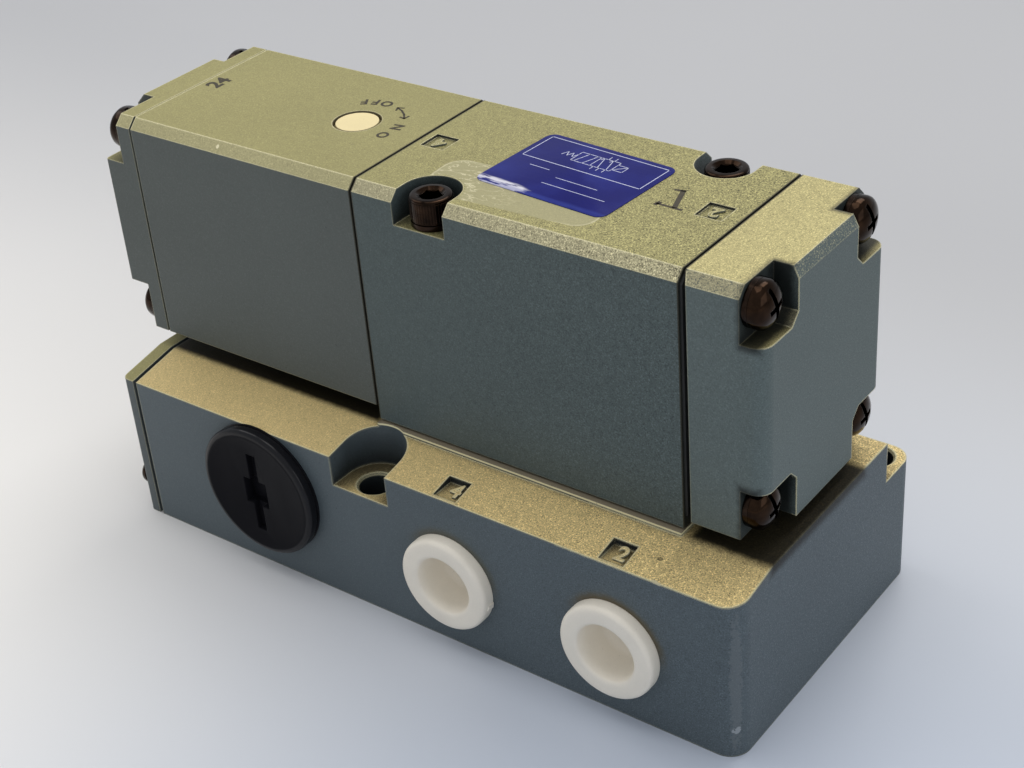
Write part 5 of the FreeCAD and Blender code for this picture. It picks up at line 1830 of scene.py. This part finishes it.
@dataclass
class NamePlate:
    """The blue label with its white line print: a border, a divider and a plain valve symbol."""

    sheet: LabelSheet = LabelSheet()
    thickness: float = 0.2
    corner: float = 2.0
    chamfer: Pair = (0.08, 0.04)
    line: float = 0.16
    border: float = 0.192
    rise: float = 0.02
    margin: float = 1.3
    divider: float = 1.2
    box: float = 4.6
    box_top: float = 7.9
    box_foot: float = 4.1
    arrow_reach: float = 1.0
    arrow_lean: float = 0.55
    arrow_barb: Pair = (0.35, 0.75)
    coil_length: float = 2.4
    coil_margins: Pair = (0.7, 0.9)
    spring_step: float = 0.6
    spring_levels: Pair = (6.8, 5.2)
    spring_bends: int = 6
    port: float = 1.1
    lower_ports: Triple = (0.9, 2.3, 3.7)
    upper_ports: Pair = (1.6, 3.0)
    rules: tuple[Line, ...] = ((-2.0, -3.3, 7.6, -3.3), (-3.0, -6.2, 11.6, -6.2), (-9.8, -1.4, -5.2, -1.4))

    def build(self) -> None:
        """Model the plate and lay the print's lines on it."""
        self._plate()
        strips = [self._strip(line, self.border) for line in self._border()]
        strips += [self._strip(line, self.line) for line in (*self._symbol(), *self.rules)]
        strips[0].join(*strips[1:]).rename("name_plate_lines").deliver(WHITE_INK, "blue_label")

    def _plate(self) -> None:
        """The plate with its rounded corners and eased upper edge."""
        x, y, top = self.sheet.centre
        high = self.thickness - self.rise / 2 - self.chamfer[1]
        size = (self.sheet.length, self.sheet.width, high)
        centre = (x, y, top - self.thickness + high / 2)
        plate = Workpiece.block("name_plate_film", size, centre, (0, 0, self.sheet.turn))
        plate.soften(self.corner, self._is_corner, 6)
        plate.steps(Cap.TOP, [self.chamfer])
        plate.deliver(LABEL, "blue_label", ["name_plate"])

    def _is_corner(self, middle: Vector, _: float) -> bool:
        """True for the plate's four upright edges."""
        return abs(middle.x) > self.sheet.length / 2 - 0.01 and abs(middle.y) > self.sheet.width / 2 - 0.01

    def _border(self) -> list[Line]:
        """The frame round the symbol.

        Returns:
            Its lines, each by its two ends in the label's own frame.
        """
        right, top = self.sheet.length / 2 - self.margin, self.sheet.width / 2 - self.margin
        corners = [(-right, self.divider), (right, self.divider), (right, top), (-right, top)]
        return [(*corners[number - 1], *corners[number]) for number in (1, 2, 3, 0)]

    def _symbol(self) -> list[Line]:
        """A five port, two position valve with its solenoid and spring, drawn upside down for the camera.

        Returns:
            Its lines.
        """
        step, high, low = self.box, self.box_top, self.box_foot
        lines = [(-step, low, step, low), (-step, high, step, high)]
        lines += [(x, low, x, high) for x in (-step, 0.0, step)]
        back, down = self.arrow_barb
        for middle, lean in ((-step / 2, self.arrow_lean), (step / 2, -self.arrow_lean)):
            for x in (middle - self.arrow_reach, middle + self.arrow_reach):
                lines += [(x - lean, low, x + lean, high), (x + lean - back, high - down, x + lean, high)]
        coil_end = step + self.coil_length
        coil_low, coil_high = low + self.coil_margins[0], high - self.coil_margins[1]
        lines += [(step, coil_low, coil_end, coil_low), (step, coil_high, coil_end, coil_high)]
        lines += [(coil_end, coil_low, coil_end, coil_high), (step, coil_low, coil_end, coil_high)]
        bends = range(self.spring_bends)
        zigzag = [(-step - self.spring_step * bend, self.spring_levels[bend % 2]) for bend in bends]
        lines += [(*start, *end) for start, end in zip(zigzag, zigzag[1:])]
        lines += [(x, low, x, low - self.port) for x in self.lower_ports]
        lines += [(x, high, x, high + self.port) for x in self.upper_ports]
        return lines

    def _strip(self, line: Line, width: float) -> Workpiece:
        """One printed line.

        Args:
            line: Its two ends in the label's own frame.
            width: Its width.

        Returns:
            A thin bar in place, with a line round its upper face.
        """
        start, end = Vector((*line[:2], 0)), Vector((*line[2:], 0))
        along = end - start
        turn = Matrix.Rotation(math.radians(self.sheet.turn), 3, "Z")
        centre = Vector(self.sheet.centre) + turn @ (start + end) / 2 - Vector((0, 0, self.rise / 2))
        heading = math.degrees(math.atan2(along.y, along.x)) + self.sheet.turn
        size = (along.length + width, width, self.rise)
        return Workpiece.block("line", size, centre, (0, 0, heading)).ease(width * 0.2)


@dataclass(frozen=True)
class Figure:
    """A raised number in a stamped square, in the paint of its casting."""

    name: str
    text: str
    place: Triple
    turn: Triple
    size: float
    paint: CastingPaint


@dataclass
class Markings:
    """Stamped words and plain numbers: the override's positions and the ports' numbers."""

    top: float = 91.6
    ink: float = 0.03
    override: Pair = (-32.5, 0.0)
    ring: float = 9.5
    letters: tuple[tuple[float, str], ...] = ((-17, "O"), (9, "N"), (90, "O"), (106, "F"), (121, "F"))
    letter: float = 3.3
    arrow: tuple[float, ...] = (34, 46, 58, 70)
    arrow_width: float = 0.42
    barb: Pair = (6, 0.9)
    voltage: float = 5.0
    voltage_place: Pair = (-72.3, 1.4)
    supply: tuple[tuple[Pair, Pair, float], ...] = (
        ((41.5, 4.1), (43.5, -2.1), 1.0),
        ((39.9, 3.9), (41.9, 4.3), 0.6),
        ((39.9, -2.2), (45.1, -2.4), 0.6),
        ((39.8, -2.6), (40.1, -1.6), 0.9),
    )
    figures: tuple[Figure, ...] = (
        Figure("port_number_4_top", "4", (-11.3, 0.0, 91.3), (0, 0, 180), 4.6, BODY_PAINT),
        Figure("port_number_2_top", "2", (50.7, 0.0, 91.3), (0, 0, 180), 4.6, BODY_PAINT),
        Figure("port_number_4", "4", (10.7, -31.15, 35.35), (10.8, 0, 0), 4.8, BASE_PAINT),
        Figure("port_number_2", "2", (48.9, -31.15, 35.35), (10.8, 0, 0), 4.8, BASE_PAINT),
    )
    figure_depth: float = 0.42
    weight: float = 0.034
    stroke_ease: float = 0.06

    def build(self) -> None:
        """Set every letter and number in place."""
        words = [self._on_ring(bearing, letter) for bearing, letter in self.letters]
        words[0].join(*words[1:], *self._double_arrow()).rename("override_lettering")
        words[0].deliver(STAMP_INK, "casting_paint")
        place = (*self.voltage_place, self.top + self.ink / 2)
        voltage = self._text("voltage_number", "24", place, (0, 0, 90), self.voltage, self.ink)
        voltage.deliver(STAMP_INK, "casting_paint")
        number, *rest = [self._stroke(start, end, width) for start, end, width in self.supply]
        number.join(*rest).rename("supply_number").deliver(STAMP_INK, "casting_paint")
        for figure in self.figures:
            letters = self._text(
                figure.name, figure.text, figure.place, figure.turn, figure.size, self.figure_depth
            )
            letters.deliver(figure.paint, "casting_paint")

    def _round_override(self, bearing: float, radius: float) -> Pair:
        """A point round the override, by its direction in degrees and its distance."""
        angle = math.radians(bearing)
        return self.override[0] + radius * math.cos(angle), self.override[1] + radius * math.sin(angle)

    def _on_ring(self, bearing: float, letter: str) -> Workpiece:
        """One letter on the arc round the override, its foot away from the disc."""
        place = (*self._round_override(bearing, self.ring), self.top + self.ink / 2)
        return self._text("letter", letter, place, (0, 0, bearing + 90), self.letter, self.ink)

    def _double_arrow(self) -> list[Workpiece]:
        """The arrow with two heads between the two words.

        Returns:
            Its bars.
        """
        first, last = self.arrow[0], self.arrow[-1]
        back, aside = self.barb
        spans = [(start, 0, end, 0) for start, end in zip(self.arrow, self.arrow[1:])]
        spans += [(first, 0, first + back, -aside), (first, 0, first + back, aside)]
        spans += [(last, 0, last - back, -aside), (last, 0, last - back, aside)]
        return [
            self._stroke(
                self._round_override(start, self.ring + near),
                self._round_override(end, self.ring + far),
                self.arrow_width,
            )
            for start, near, end, far in spans
        ]

    def _stroke(self, start: Pair, end: Pair, width: float) -> Workpiece:
        """A thin straight bar on the valve's top.

        Args:
            start: Its start.
            end: Its end.
            width: Its width.

        Returns:
            The workpiece, with a line round its upper face.
        """
        along = Vector(end) - Vector(start)
        size = (along.length + width * 0.5, width, self.ink)
        centre = (*(Vector(start) + Vector(end)) / 2, self.top + self.ink / 2)
        heading = math.degrees(math.atan2(along.y, along.x))
        return Workpiece.block("stroke", size, centre, (0, 0, heading)).ease(self.stroke_ease)

    def _text(
        self, name: str, text: str, centre: Triple, turn: Triple, size: float, depth: float
    ) -> Workpiece:
        """A letter or number made a mesh.

        Args:
            name: The piece's name.
            text: What it says.
            centre: Its middle in the CAD frame.
            turn: Its turns about X, Y and Z in degrees.
            size: The type's size.
            depth: Its thickness.

        Returns:
            The workpiece.
        """
        place = Vector(centre) * MM
        letters = Workpiece.start(name, bpy.ops.object.text_add, location=place, rotation=turned(turn))
        font = letters.piece.data
        font.body = text
        font.size = size * MM
        font.extrude = depth / 2 * MM
        font.offset = size * self.weight * MM
        font.resolution_u = 4
        font.align_x = "CENTER"
        font.align_y = "CENTER"
        bpy.ops.object.convert(target="MESH")
        return Workpiece(bpy.context.object, name).seal()


@dataclass
class JointPaint:
    """The paint that bridges the joint between the solenoid's housing and its cover on the top."""

    place: Triple = (-75.75, 0.0, 91.34)
    size: Triple = (0.5, 39.4, 0.44)
    rounding: float = 0.05

    def build(self) -> None:
        """Model the strip with its two long upper edges rounded."""
        strip = Workpiece.block("joint_paint_strip", self.size, self.place)
        strip.soften(self.rounding, self._is_long_upper_edge, 2)
        strip.deliver(HOUSING_PAINT, "casting_paint")

    def _is_long_upper_edge(self, middle: Vector, _: float) -> bool:
        """True for an edge of the strip's top that runs along Y."""
        return middle.z > self.size[2] * 0.45 and abs(middle.x) > self.size[0] * 0.4


@dataclass
class CadFinishes:
    """The finishes of the CAD nodes that show as they are."""

    groups: tuple[tuple[Finish, tuple[str, ...]], ...] = (
        (BASE_PAINT, ("subplate",)),
        (COVER_PAINT, ("terminal_cover",)),
        (BODY_PAINT, ("valve_body",)),
        (CAP_PAINT, ("end_cap",)),
        (HOUSING_PAINT, ("solenoid_housing", "solenoid_cover")),
        (
            SEAL_RUBBER,
            (
                "terminal_cover_gasket",
                "conduit_plug_ring",
                "base_gasket",
                "connector_seal",
                "sleeve_orings",
                "end_cap_gasket",
                "solenoid_gasket",
                "solenoid_cover_gasket",
                "override_oring",
            ),
        ),
        (
            STEEL,
            (
                "yoke_can",
                "yoke_plate",
                "fixed_core",
                "guide_tube",
                "override_clip",
                "terminal_screws",
                "spring_seat",
            ),
        ),
        (GROUND_STEEL, ("plunger", "push_pin")),
        (ALUMINIUM, ("spool_sleeve", "spool")),
        (COPPER, ("coil_winding",)),
        (BRASS, ("terminal_contacts", "connector_pins")),
        (BLACK, ("terminal_block", "coil_connector", "coil_bobbin")),
        (CREAM, ("override_knob",)),
    )

    def build(self) -> None:
        """Dress every node in the groups."""
        for finish, nodes in self.groups:
            for node in nodes:
                SHOP.coat(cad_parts[node], finish)
                LOG.info("%s: %s", node, finish.name)


# Studio


def aimed(place: Triple, target: Triple) -> Matrix:
    """The turn of a lamp or a camera at one place that looks at another."""
    return (Vector(target) - Vector(place)).to_track_quat("-Z", "Y").to_matrix()


@dataclass(frozen=True)
class Lamp:
    """A square soft lamp that faces the middle of the valve."""

    name: str
    place: Triple
    watts: float
    colour: Triple = (1.0, 0.98, 0.95)
    side: float = 460.0
    target: Triple = (0.0, 0.0, 50.0)

    def hang(self) -> None:
        """Hang the lamp up and aim it."""
        bpy.ops.object.light_add(type="AREA", location=Vector(self.place) * MM)
        lamp = bpy.context.object
        lamp.name = self.name
        lamp.data.size = self.side * MM
        lamp.data.energy = self.watts
        lamp.data.color = self.colour
        lamp.rotation_euler = aimed(self.place, self.target).to_euler()


@dataclass
class Studio:
    """The table, the soft lamps, the plain surroundings and the camera."""

    camera_place: Triple = (201.657, -247.447, 240.287)
    target: Triple = (6.475, -6.198, 45.0)
    roll: float = -4.873
    lens: float = 64.41
    sensor: float = 36.0
    table: float = 6000.0
    air: Colour = (0.93, 0.96, 1.0, 1.0)
    air_strength: float = 0.57
    lamps: tuple[Lamp, ...] = (
        Lamp("rear_window", (20, 430, 850), 2.75),
        Lamp("left_panel", (-560, -60, 680), 1.05),
        Lamp("ceiling", (-40, -20, 950), 1.15),
        Lamp("right_panel", (760, -80, 330), 0.6, (0.94, 0.97, 1.0)),
    )

    def build(self) -> None:
        """Set the studio up."""
        self._floor()
        self._surroundings()
        for lamp in self.lamps:
            lamp.hang()
        self._camera()

    def _floor(self) -> None:
        """The table top under the valve."""
        floor = Workpiece.start("table_top", bpy.ops.mesh.primitive_plane_add, size=self.table * MM)
        SHOP.coat(floor.piece, TABLE)

    def _surroundings(self) -> None:
        """An even, slightly cool light from all round."""
        world = bpy.data.worlds.new("studio_air")
        world.use_nodes = True
        sky = world.node_tree.nodes["Background"]
        sky.inputs["Color"].default_value = self.air
        sky.inputs["Strength"].default_value = self.air_strength
        bpy.context.scene.world = world

    def _camera(self) -> None:
        """The camera at the photograph's place, aimed and rolled as it was."""
        bpy.ops.object.camera_add(location=Vector(self.camera_place) * MM)
        camera = bpy.context.object
        camera.data.sensor_width = self.sensor
        camera.data.lens = self.lens
        camera.data.clip_start = 0.01
        roll = Matrix.Rotation(math.radians(self.roll), 3, "Z")
        camera.rotation_euler = (aimed(self.camera_place, self.target) @ roll).to_euler()
        bpy.context.scene.camera = camera


def main() -> None:
    """Build and dress every sub-assembly, then the studio."""
    logging.basicConfig(level=logging.INFO, format="%(name)s: %(message)s")
    bpy.context.scene.view_settings.view_transform = "Standard"
    for assembly in (
        CadFinishes(),
        HoldingScrews(),
        CoverScrews(),
        TerminalCoverScrews(),
        ConduitPlug(),
        PortPlugs(),
        PortThreads(),
        ReturnSpring(),
        NamePlate(),
        Markings(),
        JointPaint(),
        Studio(),
    ):
        assembly.build()


if __name__ == "__main__":
    main()
